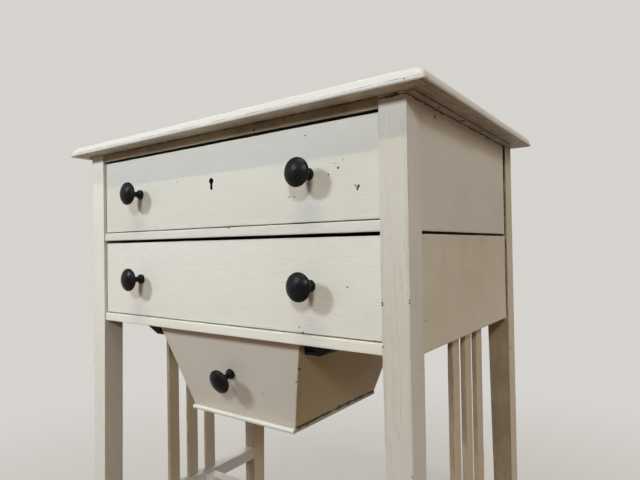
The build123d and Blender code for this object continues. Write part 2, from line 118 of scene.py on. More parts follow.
class JoinerySettings(bpy.types.PropertyGroup):
    """Edges of the boards"""

    rounding: length_setting("Edge rounding", "Width of the softened edges", 0.0010, 0, 0.003)
    waver: length_setting("Edge waver", "Depth of the dents and rubbing along edges", 0.0003, 0, 0.001)
    spacing: length_setting("Cut spacing", "Distance between cuts across a board", 0.012, 0.004, 0.1)


class StageSettings(bpy.types.PropertyGroup):
    """Floor, background and lamps"""

    backdrop: colour_setting("Backdrop", "Colour behind the table", (0.672, 0.653, 0.625))
    floor: colour_setting("Floor", "Colour of the floor as it is seen", (0.62, 0.59, 0.54))
    boards: colour_setting("Floor bounce", "Colour that the floor throws back", (0.26, 0.15, 0.075))
    left: power_setting("Left lamp", "Strength of the lamp at the front left", 9.9)
    right: power_setting("Right lamp", "Strength of the lamp at the front right", 66)
    tube: power_setting("Ceiling tube", "Strength of the tube above the front", 16.5)
    side: power_setting("Side lamp", "Strength of the warm lamp at the right", 14)
    low: power_setting("Low lamp", "Strength of the weak lamp low at the left", 1.4)
    rear: power_setting("Rear lamp", "Strength of the lamp behind the table", 30)
    sky: FloatProperty(
        name="Fill", description="Strength of the even light from all round", min=0, default=0.015)


class SewingTableSettings(bpy.types.PropertyGroup):
    """All settings of the sewing table"""

    paint: PointerProperty(type=PaintSettings)
    wood: PointerProperty(type=WoodSettings)
    black: PointerProperty(type=BlackSettings)
    joinery: PointerProperty(type=JoinerySettings)
    stage: PointerProperty(type=StageSettings)


def settings():
    return bpy.context.scene.sewing_table


# Shader node helpers

def add(tree, kind, inputs=None, **attributes):
    """Adds a node, sets its attributes, and links or sets its inputs."""
    made = tree.nodes.new(kind)
    for key, value in attributes.items():
        setattr(made, key, value)
    for key, value in (inputs or {}).items():
        if isinstance(value, bpy.types.NodeSocket):
            tree.links.new(value, made.inputs[key])
        else:
            made.inputs[key].default_value = value
    return made


def calc(tree, operation, a, b=0.0, clamp=False):
    return add(tree, "ShaderNodeMath", {0: a, 1: b}, operation=operation, use_clamp=clamp).outputs[0]


def times(tree, a, b):
    return calc(tree, "MULTIPLY", a, b)


def plus(tree, a, b, clamp=False):
    return calc(tree, "ADD", a, b, clamp)


def vector_calc(tree, operation, a, b):
    return add(tree, "ShaderNodeVectorMath", {0: a, 1: b}, operation=operation).outputs[0]


def vector_plus(tree, a, b):
    return vector_calc(tree, "ADD", a, b)


def reading(tree, operation, a, b=(0.0, 0.0, 0.0)):
    """One number from vectors, such as a length or a dot product."""
    return add(tree, "ShaderNodeVectorMath", {0: a, 1: b}, operation=operation).outputs["Value"]


def scaled(tree, vector, amount):
    return add(tree, "ShaderNodeVectorMath", {0: vector, "Scale": amount}, operation="SCALE").outputs[0]


def blend(tree, factor, a, b, kind="MIX"):
    made = add(tree, "ShaderNodeMix", {0: factor, 6: a, 7: b}, data_type="RGBA", blend_type=kind)
    return made.outputs[2]


def ramp(tree, value, low, high, to_low=0.0, to_high=1.0):
    limits = {0: value, 1: low, 2: high, 3: to_low, 4: to_high}
    return add(tree, "ShaderNodeMapRange", limits, interpolation_type="SMOOTHSTEP").outputs[0]


def cloud(tree, vector, scale, detail=4.0, roughness=0.55):
    inputs = {"Vector": vector, "Scale": scale, "Detail": detail, "Roughness": roughness}
    return add(tree, "ShaderNodeTexNoise", inputs)


def object_place(tree):
    return add(tree, "ShaderNodeTexCoord").outputs["Object"]


def node_group(name, inputs, outputs):
    """A new shader node group with named sockets, for vectors and numbers in and numbers out."""
    tree = bpy.data.node_groups.new(name, "ShaderNodeTree")
    for label, default in inputs.items():
        kind = "NodeSocketVector" if isinstance(default, tuple) else "NodeSocketFloat"
        tree.interface.new_socket(label, in_out="INPUT", socket_type=kind).default_value = default
    for label in outputs:
        tree.interface.new_socket(label, in_out="OUTPUT", socket_type="NodeSocketFloat")
    return tree, add(tree, "NodeGroupInput").outputs, add(tree, "NodeGroupOutput").inputs


# Fineness across and along the grain
FIBRES = (620.0, 16.0)
PORES = (900.0, 60.0)


def grain_group():
    """Year rings of a log that is cut along its length, with fine fibres and pores."""
    tree, given, out = node_group(
        "Wood Grain",
        {"Along": (1, 0, 0), "Lean": (0, 0, 0.05), "Heart": (0, 0, 0), "Spacing": 0.002, "Wobble": 0.016},
        ("Rings", "Fibres", "Pores"))
    place = object_place(tree)
    from_heart = vector_calc(tree, "SUBTRACT", place, given["Heart"])
    run = reading(tree, "DOT_PRODUCT", from_heart, given["Along"])
    lengthwise = scaled(tree, given["Along"], run)
    across = vector_calc(tree, "SUBTRACT", from_heart, lengthwise)
    leaning = vector_plus(tree, across, scaled(tree, given["Lean"], run))
    far = reading(tree, "LENGTH", leaning)
    squeezed = vector_plus(tree, across, scaled(tree, lengthwise, 0.3))
    wobble = times(tree, cloud(tree, squeezed, 24.0, 3.0).outputs["Fac"], given["Wobble"])
    turns = calc(tree, "DIVIDE", plus(tree, far, wobble), given["Spacing"])
    wave = calc(tree, "SINE", times(tree, turns, math.tau))
    fibre_place, pore_place = [
        vector_plus(tree, scaled(tree, across, fine), scaled(tree, lengthwise, coarse))
        for fine, coarse in (FIBRES, PORES)
    ]
    fibres = cloud(tree, fibre_place, 1.0, 3.0, 0.6).outputs["Fac"]
    pores = cloud(tree, pore_place, 1.0, 1.0).outputs["Fac"]
    tree.links.new(ramp(tree, wave, -0.4, 1.0), out["Rings"])
    tree.links.new(ramp(tree, fibres, 0.3, 0.7), out["Fibres"])
    tree.links.new(ramp(tree, pores, 0.66, 0.74), out["Pores"])
    return tree


def wear_group():
    """Chips and rubbing along the edges that the boards carry as an attribute."""
    tree, given, out = node_group("Edge Wear", {"Amount": 0.4}, ("Chips", "Rubbed"))
    edge = add(tree, "ShaderNodeAttribute", attribute_name="edge").outputs["Fac"]
    place = object_place(tree)
    patches = cloud(tree, place, 22.0, 3.0).outputs["Fac"]
    flakes = cloud(tree, place, 190.0, 4.0, 0.6).outputs["Fac"]
    mixed = plus(tree, times(tree, patches, 0.6), times(tree, flakes, 0.4))
    limit = calc(tree, "SUBTRACT", 0.82, times(tree, edge, given["Amount"]))
    tree.links.new(ramp(tree, calc(tree, "SUBTRACT", mixed, limit), 0.0, 0.02), out["Chips"])
    tree.links.new(times(tree, edge, ramp(tree, patches, 0.35, 0.7)), out["Rubbed"])
    return tree


def mottle_group():
    """Slow stains and small specks."""
    tree, given, out = node_group("Mottle", {"Scale": 5.0}, ("Stain", "Specks"))
    place = object_place(tree)
    stain = cloud(tree, place, given["Scale"], 5.0, 0.6).outputs["Fac"]
    tree.links.new(ramp(tree, stain, 0.38, 0.68), out["Stain"])
    specks = add(tree, "ShaderNodeTexVoronoi", {"Vector": place, "Scale": 46.0, "Randomness": 1.0}).outputs
    size = ramp(tree, cloud(tree, place, 9.0, 1.0).outputs["Fac"], 0.66, 0.85, 0.0, 0.04)
    tree.links.new(calc(tree, "LESS_THAN", specks["Distance"], size), out["Specks"])
    return tree


def chip_group():
    """One ragged patch of lost paint around a place on the object."""
    tree, given, out = node_group("Paint Chip", {"Centre": (0, 0, 0), "Radius": 0.003}, ("Mask",))
    place = object_place(tree)
    ragged = vector_calc(tree, "SUBTRACT", cloud(tree, place, 420.0, 3.0).outputs["Color"], (0.5, 0.5, 0.5))
    shifted = scaled(tree, ragged, times(tree, given["Radius"], 2.2))
    apart = vector_calc(tree, "SUBTRACT", vector_plus(tree, place, shifted), given["Centre"])
    far = reading(tree, "LENGTH", apart)
    tree.links.new(calc(tree, "LESS_THAN", far, given["Radius"]), out["Mask"])
    return tree


def joint_group():
    """A ragged dark line where two pieces meet, at a place on an axis: soiling, and painted shade in
    creases and gaps.
    """
    defaults = {"Axis": (0, 0, 1), "Place": 0.0, "Width": 0.001}
    tree, given, out = node_group("Joint Dirt", defaults, ("Mask",))
    place = object_place(tree)
    level = reading(tree, "DOT_PRODUCT", place, given["Axis"])
    away = calc(tree, "ABSOLUTE", calc(tree, "SUBTRACT", level, given["Place"]))
    patches = ramp(tree, cloud(tree, place, 60.0, 4.0, 0.65).outputs["Fac"], 0.35, 0.65, 0.15, 1.0)
    reach = times(tree, given["Width"], patches)
    tree.links.new(ramp(tree, calc(tree, "DIVIDE", away, reach), 0.6, 1.0, 1.0, 0.0), out["Mask"])
    return tree


GROUP_NAMES = {
    grain_group: "Wood Grain",
    wear_group: "Edge Wear",
    mottle_group: "Mottle",
    chip_group: "Paint Chip",
    joint_group: "Joint Dirt",
}


def group(tree, maker, **values):
    """Places a shared node group in a material, with its own values."""
    shared = bpy.data.node_groups.get(GROUP_NAMES[maker]) or maker()
    return add(tree, "ShaderNodeGroup", values, node_tree=shared).outputs


# Materials

GRAIN = {
    "x": {"Along": (1, 0, 0), "Lean": (0, 0.02, 0.06), "Heart": (0.1, -0.33, 0.60), "Spacing": 0.0013},
    "y": {"Along": (0, 1, 0), "Lean": (0.06, 0, 0.02), "Heart": (0.40, 0.05, 0.62), "Spacing": 0.0013},
    "z": {"Along": (0, 0, 1), "Lean": (0.02, 0.02, 0), "Heart": (0.34, -0.27, 0.4), "Spacing": 0.0012},
    "edge": {
        "Along": (1, 0, 0), "Lean": (0, 0.004, 0.004), "Heart": (0, 0, 0.93), "Spacing": 0.0016,
        "Wobble": 0.003},
    "end": {
        "Along": (0, 1, 0), "Lean": (0.02, 0, 0.02), "Heart": (0.40, 0.05, 0.62), "Spacing": 0.0045,
        "Wobble": 0.012},
    "worn": {
        "Along": (0, 0, 1), "Lean": (0.02, 0.02, 0), "Heart": (0.34, -0.27, 0.4), "Spacing": 0.006},
}

# How strongly the grain shows through the paint, and its colour there
PAINTED_RINGS = 0.025
PAINTED_FIBRES = 0.035
PAINTED_PORES = 0.09
PAINTED_GRAIN = (0.12, 0.105, 0.08, 1)

HANDLED_BLACK = (0.009, 0.0085, 0.008, 1)
WOOD_RELIEF = 0.12 * MM
BLACK_RELIEF = 0.02 * MM
METAL_RELIEF = 0.05 * MM


def new_material(name):
    material = bpy.data.materials.new(name)
    material.use_nodes = True
    tree = material.node_tree
    return material, tree, tree.nodes["Principled BSDF"]


def finish(tree, surface, colour, rough, height, depth):
    """Links a material's colour, roughness and relief, which sinks in where the depth is negative."""
    bump = add(tree, "ShaderNodeBump", {"Height": height, "Distance": depth, "Strength": 1.0})
    tree.links.new(colour, surface.inputs["Base Color"])
    tree.links.new(rough, surface.inputs["Roughness"])
    tree.links.new(bump.outputs["Normal"], surface.inputs["Normal"])


def seen_rays(tree):
    """One for the rays that bring a thing to the eye, straight or by a mirror or glass."""
    path = add(tree, "ShaderNodeLightPath").outputs
    seen = calc(tree, "MAXIMUM", path["Is Camera Ray"], path["Is Glossy Ray"])
    return calc(tree, "MAXIMUM", seen, path["Is Transmission Ray"])


def cream_paint(along, label="", chips=(), joints=(), soiled=0.0, gloss=0.0, streaks=1.0, light_and_shade_tint=(1, 1, 1)):
    """Brushed cream paint over wood, with chipped edges, placed chips, dark joint lines, soiling, and
    painted light and shade.
    """
    name = " ".join(["cream paint along", along, label]).strip()
    if name in bpy.data.materials:
        return bpy.data.materials[name]
    paint = settings().paint
    # Painted light and shade: a piece's tints lighten it where light falls strongly, darken and warm it in
    # shade
    fresh, faded = [(*(c * t for c, t in zip(tone, light_and_shade_tint)), 1) for tone in (paint.cream, paint.faded)]
    material, tree, surface = new_material(name)
    grain = group(tree, grain_group, **GRAIN[along])
    wear = group(tree, wear_group, Amount=paint.wear)
    mottle = group(tree, mottle_group, Scale=4.5)
    cream = blend(tree, times(tree, mottle["Stain"], 0.6), fresh, faded)
    # Soiling mixed with painted shade, on pieces that lie in shade
    if soiled:
        dirt_and_shade = group(tree, mottle_group, Scale=28.0)["Stain"]
        dirt_and_shade = plus(tree, soiled, times(tree, dirt_and_shade, 0.4), True)
        cream = blend(tree, dirt_and_shade, cream, (*paint.shaded_grime_colour, 1))
    rings = times(tree, grain["Rings"], PAINTED_RINGS * streaks)
    fibres = times(tree, grain["Fibres"], PAINTED_FIBRES * streaks)
    pores = times(tree, grain["Pores"], PAINTED_PORES * streaks)
    lines = plus(tree, plus(tree, rings, fibres), pores, True)
    cream = blend(tree, lines, cream, PAINTED_GRAIN)
    cream = blend(tree, times(tree, wear["Rubbed"], 0.30), cream, faded, "MULTIPLY")
    # Dark lines: soiling in joints, and painted shade in the quirk of the top and in gaps
    for axis, place, width in joints:
        joint = group(tree, joint_group, Axis=axis, Place=place * MM, Width=width * MM)
        cream = blend(tree, joint["Mask"], cream, (*paint.dirt_and_shade, 1))
    gone = calc(tree, "MAXIMUM", wear["Chips"], mottle["Specks"])
    for centre, radius in chips:
        spot = {"Centre": Vector(centre) * MM, "Radius": radius * MM}
        gone = calc(tree, "MAXIMUM", gone, group(tree, chip_group, **spot)["Mask"])
    cream = blend(tree, gone, cream, (*paint.bare, 1))
    rough = plus(tree, paint.roughness - gloss, times(tree, mottle["Stain"], 0.10))
    rough = plus(tree, rough, times(tree, gone, 0.25), True)
    height = plus(tree, times(tree, grain["Rings"], 0.5), grain["Fibres"])
    height = plus(tree, height, times(tree, grain["Pores"], 1.6))
    height = plus(tree, height, times(tree, gone, 4.0))
    surface.inputs["Specular IOR Level"].default_value = 0.38
    finish(tree, surface, cream, rough, height, -paint.relief)
    return material


def bare_wood(along, soiled=False):
    """Old unpainted wood; in a gap it is darkened near to black, for dust and age and as painted shade."""
    name = ("soiled" if soiled else "bare") + " wood along " + along
    if name in bpy.data.materials:
        return bpy.data.materials[name]
    wood = settings().wood
    # Painted shade: in a gap the wood is darkened near to black, together with its age and soiling
    shade = 0.09 if soiled else 1.0
    light, dark = [(*(c * shade for c in tone), 1) for tone in (wood.light, wood.dark)]
    pore = (0.09 * shade, 0.05 * shade, 0.025 * shade, 1)
    material, tree, surface = new_material(name)
    grain = group(tree, grain_group, **GRAIN[along])
    mottle = group(tree, mottle_group, Scale=3.0)
    wear = group(tree, wear_group, Amount=0.2)
    lines = plus(tree, times(tree, grain["Rings"], 0.55), times(tree, grain["Fibres"], 0.35))
    colour = blend(tree, lines, light, dark)
    colour = blend(tree, times(tree, mottle["Stain"], 0.30), colour, dark)
    colour = blend(tree, times(tree, grain["Pores"], 0.5), colour, pore)
    colour = blend(tree, times(tree, wear["Rubbed"], 0.3), colour, light)
    surface.inputs["Specular IOR Level"].default_value = 0.1 if soiled else 0.4
    rough = plus(tree, wood.roughness, times(tree, grain["Fibres"], 0.12))
    finish(tree, surface, colour, rough, plus(tree, lines, grain["Pores"]), -WOOD_RELIEF)
    return material


def black_finish(along, satin):
    """Black paint or stain, rubbed brown on its edges."""
    name = "black finish along " + along + (" satin" if satin else "")
    if name in bpy.data.materials:
        return bpy.data.materials[name]
    black = settings().black
    material, tree, surface = new_material(name)
    grain = group(tree, grain_group, **GRAIN[along])
    wear = group(tree, wear_group, Amount=0.12)
    mottle = group(tree, mottle_group, Scale=60.0)
    colour = blend(tree, times(tree, mottle["Stain"], 0.5), (*black.black, 1), HANDLED_BLACK)
    colour = blend(tree, times(tree, wear["Rubbed"], 0.5), colour, (*black.rubbed, 1))
    colour = blend(tree, wear["Chips"], colour, (*black.rubbed, 1))
    plain = black.roughness if satin else black.roughness + 0.25
    rough = plus(tree, plain, times(tree, mottle["Stain"], 0.14))
    surface.inputs["Specular IOR Level"].default_value = 0.13
    height = plus(tree, grain["Fibres"], times(tree, mottle["Stain"], 0.6))
    finish(tree, surface, colour, rough, height, BLACK_RELIEF)
    return material


def old_metal(name, bright, dull, roughness):
    """Tarnished metal of the lock and screws."""
    if name in bpy.data.materials:
        return bpy.data.materials[name]
    material, tree, surface = new_material(name)
    mottle = group(tree, mottle_group, Scale=55.0)
    wear = group(tree, wear_group, Amount=0.3)
    tarnish = calc(tree, "SUBTRACT", mottle["Stain"], times(tree, wear["Rubbed"], 0.6), True)
    colour = blend(tree, tarnish, (*bright, 1), (*dull, 1))
    rough = plus(tree, roughness, times(tree, tarnish, 0.25))
    surface.inputs["Metallic"].default_value = 1.0
    finish(tree, surface, colour, rough, mottle["Stain"], METAL_RELIEF)
    return material


def lock_brass():
    return old_metal("tarnished brass", (0.55, 0.40, 0.17), (0.20, 0.13, 0.055), 0.34)


def screw_steel():
    return old_metal("dull steel", (0.36, 0.35, 0.34), (0.13, 0.105, 0.085), 0.42)


# Meshes

def link_piece(name, bm, materials, nodes):
    """Makes an object of a mesh, which rides with the CAD nodes that it stands for."""
    mesh = bpy.data.meshes.new(name)
    bm.normal_update()
    bm.to_mesh(mesh)
    bm.free()
    for face in mesh.polygons:
        face.use_smooth = True
    for material in materials:
        mesh.materials.append(material)
    piece = bpy.data.objects.new(name, mesh)
    bpy.context.scene.collection.objects.link(piece)
    piece.modifiers.new("weighted normals", "WEIGHTED_NORMAL").keep_sharp = True
    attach(piece, BODY_OF[nodes[0]])
    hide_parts(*nodes)
    return piece


def cad_shape(node):
    """The node's solid with its flat faces whole."""
    bm = bmesh.new()
    bm.from_mesh(frame["nodes"][node].data)
    bmesh.ops.remove_doubles(bm, verts=bm.verts[:], dist=2e-6)
    bmesh.ops.dissolve_limit(
        bm, angle_limit=0.008, use_dissolve_boundaries=False, verts=bm.verts[:], edges=bm.edges[:])
    return bm


CUT_CLEARANCE = 3.5 * MM
RING_CLEARANCE = 0.4 * MM
SHARP_ANGLE = 0.75
# How squarely a face looks along an axis to count as facing it
SQUARE = 0.75


def new_mesh():
    """An empty mesh with the attribute that marks worn edges."""
    bm = bmesh.new()
    return bm, bm.verts.layers.float.new("edge")


def cut(bm, place, direction, clearance):
    """Cuts the whole mesh by a plane."""
    everything = bm.verts[:] + bm.edges[:] + bm.faces[:]
    bmesh.ops.bisect_plane(bm, geom=everything, dist=clearance, plane_co=place, plane_no=direction)


def cut_across(bm, low, high, axis, spacing):
    """Cuts every face at even steps along an axis, clear of the corners that are there already."""
    steps = max(1, round((high[axis] - low[axis]) / spacing))
    direction = Vector([float(i == axis) for i in range(3)])
    corners = [v.co[axis] for v in bm.verts]
    for i in range(1, steps):
        place = low + (high - low) * (i / steps)
        if min(abs(c - place[axis]) for c in corners) > CUT_CLEARANCE:
            cut(bm, place, direction, 1e-7)


def cut_rings(bm, depth):
    """Cuts the solid just inside each of its outer faces, so that wear can stay near the edges."""
    planes = {}
    for face in bm.faces:
        place = face.normal.dot(face.verts[0].co)
        planes[tuple(round(c, 2) for c in (*face.normal, 1000 * place))] = (face.normal.copy(), place)
    corners = [v.co.copy() for v in bm.verts]
    for normal, place in planes.values():
        if max(normal.dot(corner) for corner in corners) < place + 0.1 * MM:
            cut(bm, normal * (place - depth), normal, RING_CLEARANCE)


def soften(bm, rounding):
    """Rounds the sharp outer edges, and marks them in the edge attribute."""
    short = {v for e in bm.edges if e.calc_length() < 1.5 * rounding for v in e.verts}
    sharp = [
        e for e in bm.edges
        if e.is_manifold and e.is_convex and e.calc_face_angle() > 0.2 and not (set(e.verts) & short)
    ]
    rounded = bmesh.ops.bevel(
        bm, geom=sharp, offset=rounding, offset_type="OFFSET", segments=3, profile=0.5, affect="EDGES",
        clamp_overlap=True)["faces"]
    edge = bm.verts.layers.float.new("edge")
    for face in rounded:
        for vert in face.verts:
            vert[edge] = 1.0
    for e in bm.edges:
        if e.is_manifold and e.calc_face_angle() > SHARP_ANGLE:
            e.smooth = False
    return edge


def rub(bm, edge, depth):
    """Wears the marked edges unevenly."""
    bm.normal_update()
    for vert in bm.verts:
        slow = noise.noise(vert.co * 33.0)
        quick = noise.noise(vert.co * 140.0)
        vert.co -= vert.normal * depth * vert[edge] * max(0.0, 0.45 + 0.7 * slow + 0.5 * quick)


def board(node, along, materials, choose=None, rounding=None, suffix="board", shape=None):
    """A piece of joinery made from its CAD solid, with softened, unevenly worn edges."""
    joinery = settings().joinery
    rounding = rounding or joinery.rounding
    low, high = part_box(node)
    bm = cad_shape(node)
    if shape:
        shape(bm)
    thin = min(high - low)
    rounding = min(rounding, thin * 0.2)
    cut_rings(bm, rounding + min(2.2 * MM, thin * 0.16))
    cut_across(bm, low, high, "xyz".index(along), joinery.spacing)
    edge = soften(bm, rounding)
    rub(bm, edge, min(joinery.waver, rounding * 0.4))
    if choose:
        bm.normal_update()
        for face in bm.faces:
            face.material_index = choose(face)
    return link_piece(node + "_" + suffix, bm, materials, [node])


def facing(*directions):
    """Picks a material for the faces that look in each direction, after the first for all others."""
    def choose(face):
        for number, direction in enumerate(directions):
            if face.normal.dot(Vector(direction)) > SQUARE:
                return number + 1
        return 0
    return choose


# Marks on the pieces

AXIS_X = (1, 0, 0)
AXIS_Y = (0, 1, 0)
AXIS_Z = (0, 0, 1)

# Chips in the paint, as ((x, y, z), radius) in millimetres
CHIPS = {
    "top_board": (
        ((-103, -182.2, 738), 1.0), ((262, -182, 736), 0.9), ((150, -182, 735), 0.8),
        ((277, -181, 736), 1.2), ((279.5, -176, 735), 1.0), ((271, -182.3, 737.5), 0.8)),
    "underside": (((265.3, -167.9, 733), 1.2),),
    "underside_ends": (
        ((276.2, -172, 733), 1.3), ((274.5, -163.3, 733), 1.1), ((277.4, -139.5, 733.2), 1.2),
        ((278.1, -130.4, 733.6), 0.9), ((271.7, -138.1, 733), 0.9), ((276, -179.2, 733), 1.1),
        ((275.5, -111.2, 733), 0.8), ((273.1, -154.8, 733), 1.0)),
    "top_strips": (((258, -98, 730.5), 2.2), ((258, -33, 730.5), 3.0), ((258, 31, 730.5), 2.6)),
    "top_rail": (((69.4, -161.4, 725.4), 1.2),),
    "upper_drawer_front": (
        ((178, -158.7, 672.5), 1.2), ((184, -158.7, 680), 0.6), ((166.4, -158.7, 667.2), 0.9),
        ((174.4, -158.7, 677), 0.5), ((200.3, -158.7, 652), 1.8), ((199.5, -158.7, 649.8), 1.0),
        ((197.5, -158.7, 653.5), 0.9), ((138, -158.7, 710), 0.9), ((115.8, -158.7, 648), 0.8),
        ((122.5, -158.7, 648), 0.9), ((-65.5, -158.7, 679.8), 0.8)),
    "lower_drawer_front": (
        ((186.3, -158.7, 556), 0.9), ((126.8, -158.7, 512.7), 0.8), ((131, -158.3, 507), 1.4)),
    "right_front_leg": (
        ((226.2, -162.5, 546.4), 0.6), ((226.2, -162.5, 543.4), 1.2), ((226.4, -162.5, 541.2), 1.0),
        ((253.8, -162.5, 547), 1.0), ((253.8, -162.5, 544.5), 0.9), ((253.7, -162.5, 392), 1.0),
        ((226.5, -162.5, 503), 0.9), ((253.8, -135.5, 536), 0.9)),
    "rear_legs": (((253.9, 153.2, 450.6), 1.8),),
    "upper_side_boards": (((254, -98.3, 722.2), 1.9), ((254, 26.4, 690), 0.7)),
    "lower_side_boards": (((254, -128.6, 525.1), 0.9),),
    "box_front": (((46.5, -128.2, 424), 0.8), ((109.6, -139.7, 463.3), 1.5), ((102.5, -135, 447), 1.0)),
    "box_bottom": (
        ((-66, -121, 382.5), 0.7), ((-57, -121.2, 385), 0.5), ((-49, -121, 382.5), 0.8),
        ((86, -29, 386), 2.2)),
    "box_sides": (((87, -29, 389), 2.0), ((109, -136, 462), 1.5)),
}

# Dark lines of soiling, and some of painted shade, as (axis, place on it, width) in millimetres
UNDER_TOP = (AXIS_Z, 733.0, 1.0)
# A painted shadow line in the quirk of the moulded edge
IN_QUIRK = (AXIS_Z, 737.3, 0.5)
AT_RIGHT_LEG = (AXIS_X, 225.5, 0.7)
AT_LEFT_LEG = (AXIS_X, -225.5, 0.7)
UNDER_STRIP = (AXIS_Z, 730.6, 2.8)
BESIDE_STRIP = (AXIS_X, 261.2, 0.8)
BEHIND_OVERHANG = (AXIS_Y, -162.2, 1.2)
UNDER_BOX_SIDES = (AXIS_Z, 387.2, 3.4)
# Soiling with painted shade in the gaps between the rear legs and the side boards
AT_BOARD_ENDS = (AXIS_X, 251.2, 1.3)
AT_BOARD_TOPS = (AXIS_X, 251.2, 2.6)

# What sets the paint of some pieces apart from the rest: soiling and streaks, and painted light and shade
FINISH = {
    # The top's tints are painted light.
    "top_board": {"gloss": 0.08, "streaks": 0.5, "light_and_shade_tint": (1.03, 1.04, 1.10), "joints": (IN_QUIRK,)},
    # Under the top and on its strips, soiling is mixed with painted shade.
    "underside": {"soiled": 0.3, "streaks": 5.0, "joints": (BEHIND_OVERHANG,)},
    "underside_ends": {"soiled": 0.42, "streaks": 9.0, "joints": (BESIDE_STRIP,)},
    "top_strips": {"soiled": 0.4, "streaks": 6.0, "joints": (UNDER_TOP,)},
    # The legs' tints are painted light in front and on the outsides, and painted shade on the insides.
    "left_front_leg": {"light_and_shade_tint": (1.14, 1.115, 1.11), "joints": (UNDER_TOP,)},
    "right_front_leg": {"light_and_shade_tint": (0.95, 0.92, 0.89), "streaks": 2.5, "joints": (UNDER_TOP, UNDER_STRIP)},
    "leg_insides": {"light_and_shade_tint": (0.86, 0.83, 0.80)},
    "leg_outsides": {"light_and_shade_tint": (1.08, 1.10, 1.14), "streaks": 2.5, "joints": (UNDER_TOP, UNDER_STRIP)},
    # The rear legs are tinted darker and warmer as painted shade, and their fronts carry a painted shadow.
    "rear_legs": {"light_and_shade_tint": (0.96, 0.87, 0.72)},
    "rear_leg_fronts": {"soiled": 0.4, "streaks": 6.0, "light_and_shade_tint": (0.68, 0.53, 0.33)},
    "shaded_fronts": {"soiled": 0.35, "streaks": 5.0, "light_and_shade_tint": (0.85, 0.72, 0.52)},
    # In the gaps beside the side boards the dark paint is soiling with painted shade, darkest near the top.
    "gaps": {"soiled": 0.4, "light_and_shade_tint": (0.78, 0.69, 0.50), "joints": (AT_BOARD_ENDS,)},
    "gap_tops": {"soiled": 0.5, "light_and_shade_tint": (0.80, 0.70, 0.52), "joints": (AT_BOARD_TOPS,)},
    # The top rail's brown is soiling with painted shade; the lower rails' and lower drawer's tints are
    # painted light.
    "top_rail": {
        "soiled": 0.6, "light_and_shade_tint": (0.84, 0.74, 0.54), "streaks": 3.0,
        "joints": (UNDER_TOP, AT_LEFT_LEG, AT_RIGHT_LEG)},
    "middle_rail": {"light_and_shade_tint": (1.04, 1.03, 1.05), "joints": (AT_LEFT_LEG, AT_RIGHT_LEG)},
    "bottom_rail": {"light_and_shade_tint": (1.18, 1.17, 1.16), "joints": (AT_LEFT_LEG, AT_RIGHT_LEG)},
    "lower_drawer_front": {"light_and_shade_tint": (1.11, 1.10, 1.11)},
    "upper_side_boards": {"joints": (UNDER_STRIP,)},
    # Lower side boards, slats, box sides and ends are tinted as painted shade; box front and nosing as
    # painted light.
    "lower_side_boards": {"light_and_shade_tint": (1.0, 0.95, 0.88)},
    "slats": {"light_and_shade_tint": (0.86, 0.74, 0.58)},
    "box_front": {"light_and_shade_tint": (1.01, 0.95, 0.90)},
    "box_sides": {"light_and_shade_tint": (0.70, 0.57, 0.325), "joints": (UNDER_BOX_SIDES,)},
    "box_bottom": {"light_and_shade_tint": (1.10, 1.09, 1.14), "gloss": 0.1},
    "box_ends": {"light_and_shade_tint": (0.72, 0.68, 0.62), "joints": (UNDER_BOX_SIDES,)},
}


def painted(part, along):
    """Cream paint with a part's chips, soiling, painted light and painted shade, or plain paint if it has
    none.
    """
    chips, own = CHIPS.get(part, ()), FINISH.get(part, {})
    label = "of the " + part.replace("_", " ") if chips or own else ""
    return cream_paint(along, label, chips, **own)


# Pieces

TOP_BEAD = 4.0 * MM
TOP_BEAD_RADIUS = 2.6 * MM
TOP_QUIRK = 1.2 * MM
TOP_FLAT = 0.6 * MM
TOP_MARGIN = 19.0 * MM
TOP_CORNER = 1.5 * MM
TOP_CORNER_GROWTH = 0.45
TOP_LIP = 6.0 * MM
TOP_BEAD_EDGE = 0.5 * MM
TOP_BEAD_WEAR = 0.75
TOP_WEAR_DEPTH = 0.15 * MM


def arc(centre, radius, start, end, steps):
    """Points on an arc, in (inset, height)."""
    points = []
    for i in range(steps + 1):
        angle = math.radians(start + (end - start) * i / steps)
        points.append((centre[0] + radius * math.cos(angle), centre[1] + radius * math.sin(angle)))
    return points


def moulded_edge(thickness):
    """Edge of the top from its underside to its upper face, as (inset, height)."""
    r = TOP_BEAD_RADIUS
    big = thickness - TOP_BEAD - TOP_FLAT
    profile = [(TOP_MARGIN, 0.0), (TOP_LIP, 0.0)]
    profile += arc((r, r), r, 270, 180, 6)
    profile += arc((TOP_BEAD_EDGE, TOP_BEAD - TOP_BEAD_EDGE), TOP_BEAD_EDGE, 180, 90, 3)
    profile += [(TOP_QUIRK, TOP_BEAD), (TOP_QUIRK, TOP_BEAD + TOP_FLAT)]
    profile += arc((TOP_QUIRK + big, TOP_BEAD + TOP_FLAT), big, 180, 90, 12)[1:]
    profile += [(TOP_MARGIN, thickness)]
    return profile


def round_top(low, high, inset, corner, spacing):
    """Points round the top with its corners rounded, from the front left, as (x, y)."""
    near = inset + corner
    x0, x1, y0, y1 = low.x + near, high.x - near, low.y + near, high.y - near
    turns = [
        arc(centre, corner, start, start + 90, 5)
        for centre, start in (((x0, y0), 180), ((x1, y0), 270), ((x1, y1), 0), ((x0, y1), 90))
    ]
    points = []
    for i, turn in enumerate(turns):
        start, end = Vector(turn[-1]), Vector(turns[(i + 1) % 4][0])
        steps = round(((high.x - low.x) if i % 2 == 0 else (high.y - low.y)) / spacing)
        points += turn + [tuple(start.lerp(end, k / steps)) for k in range(1, steps)]
    return points


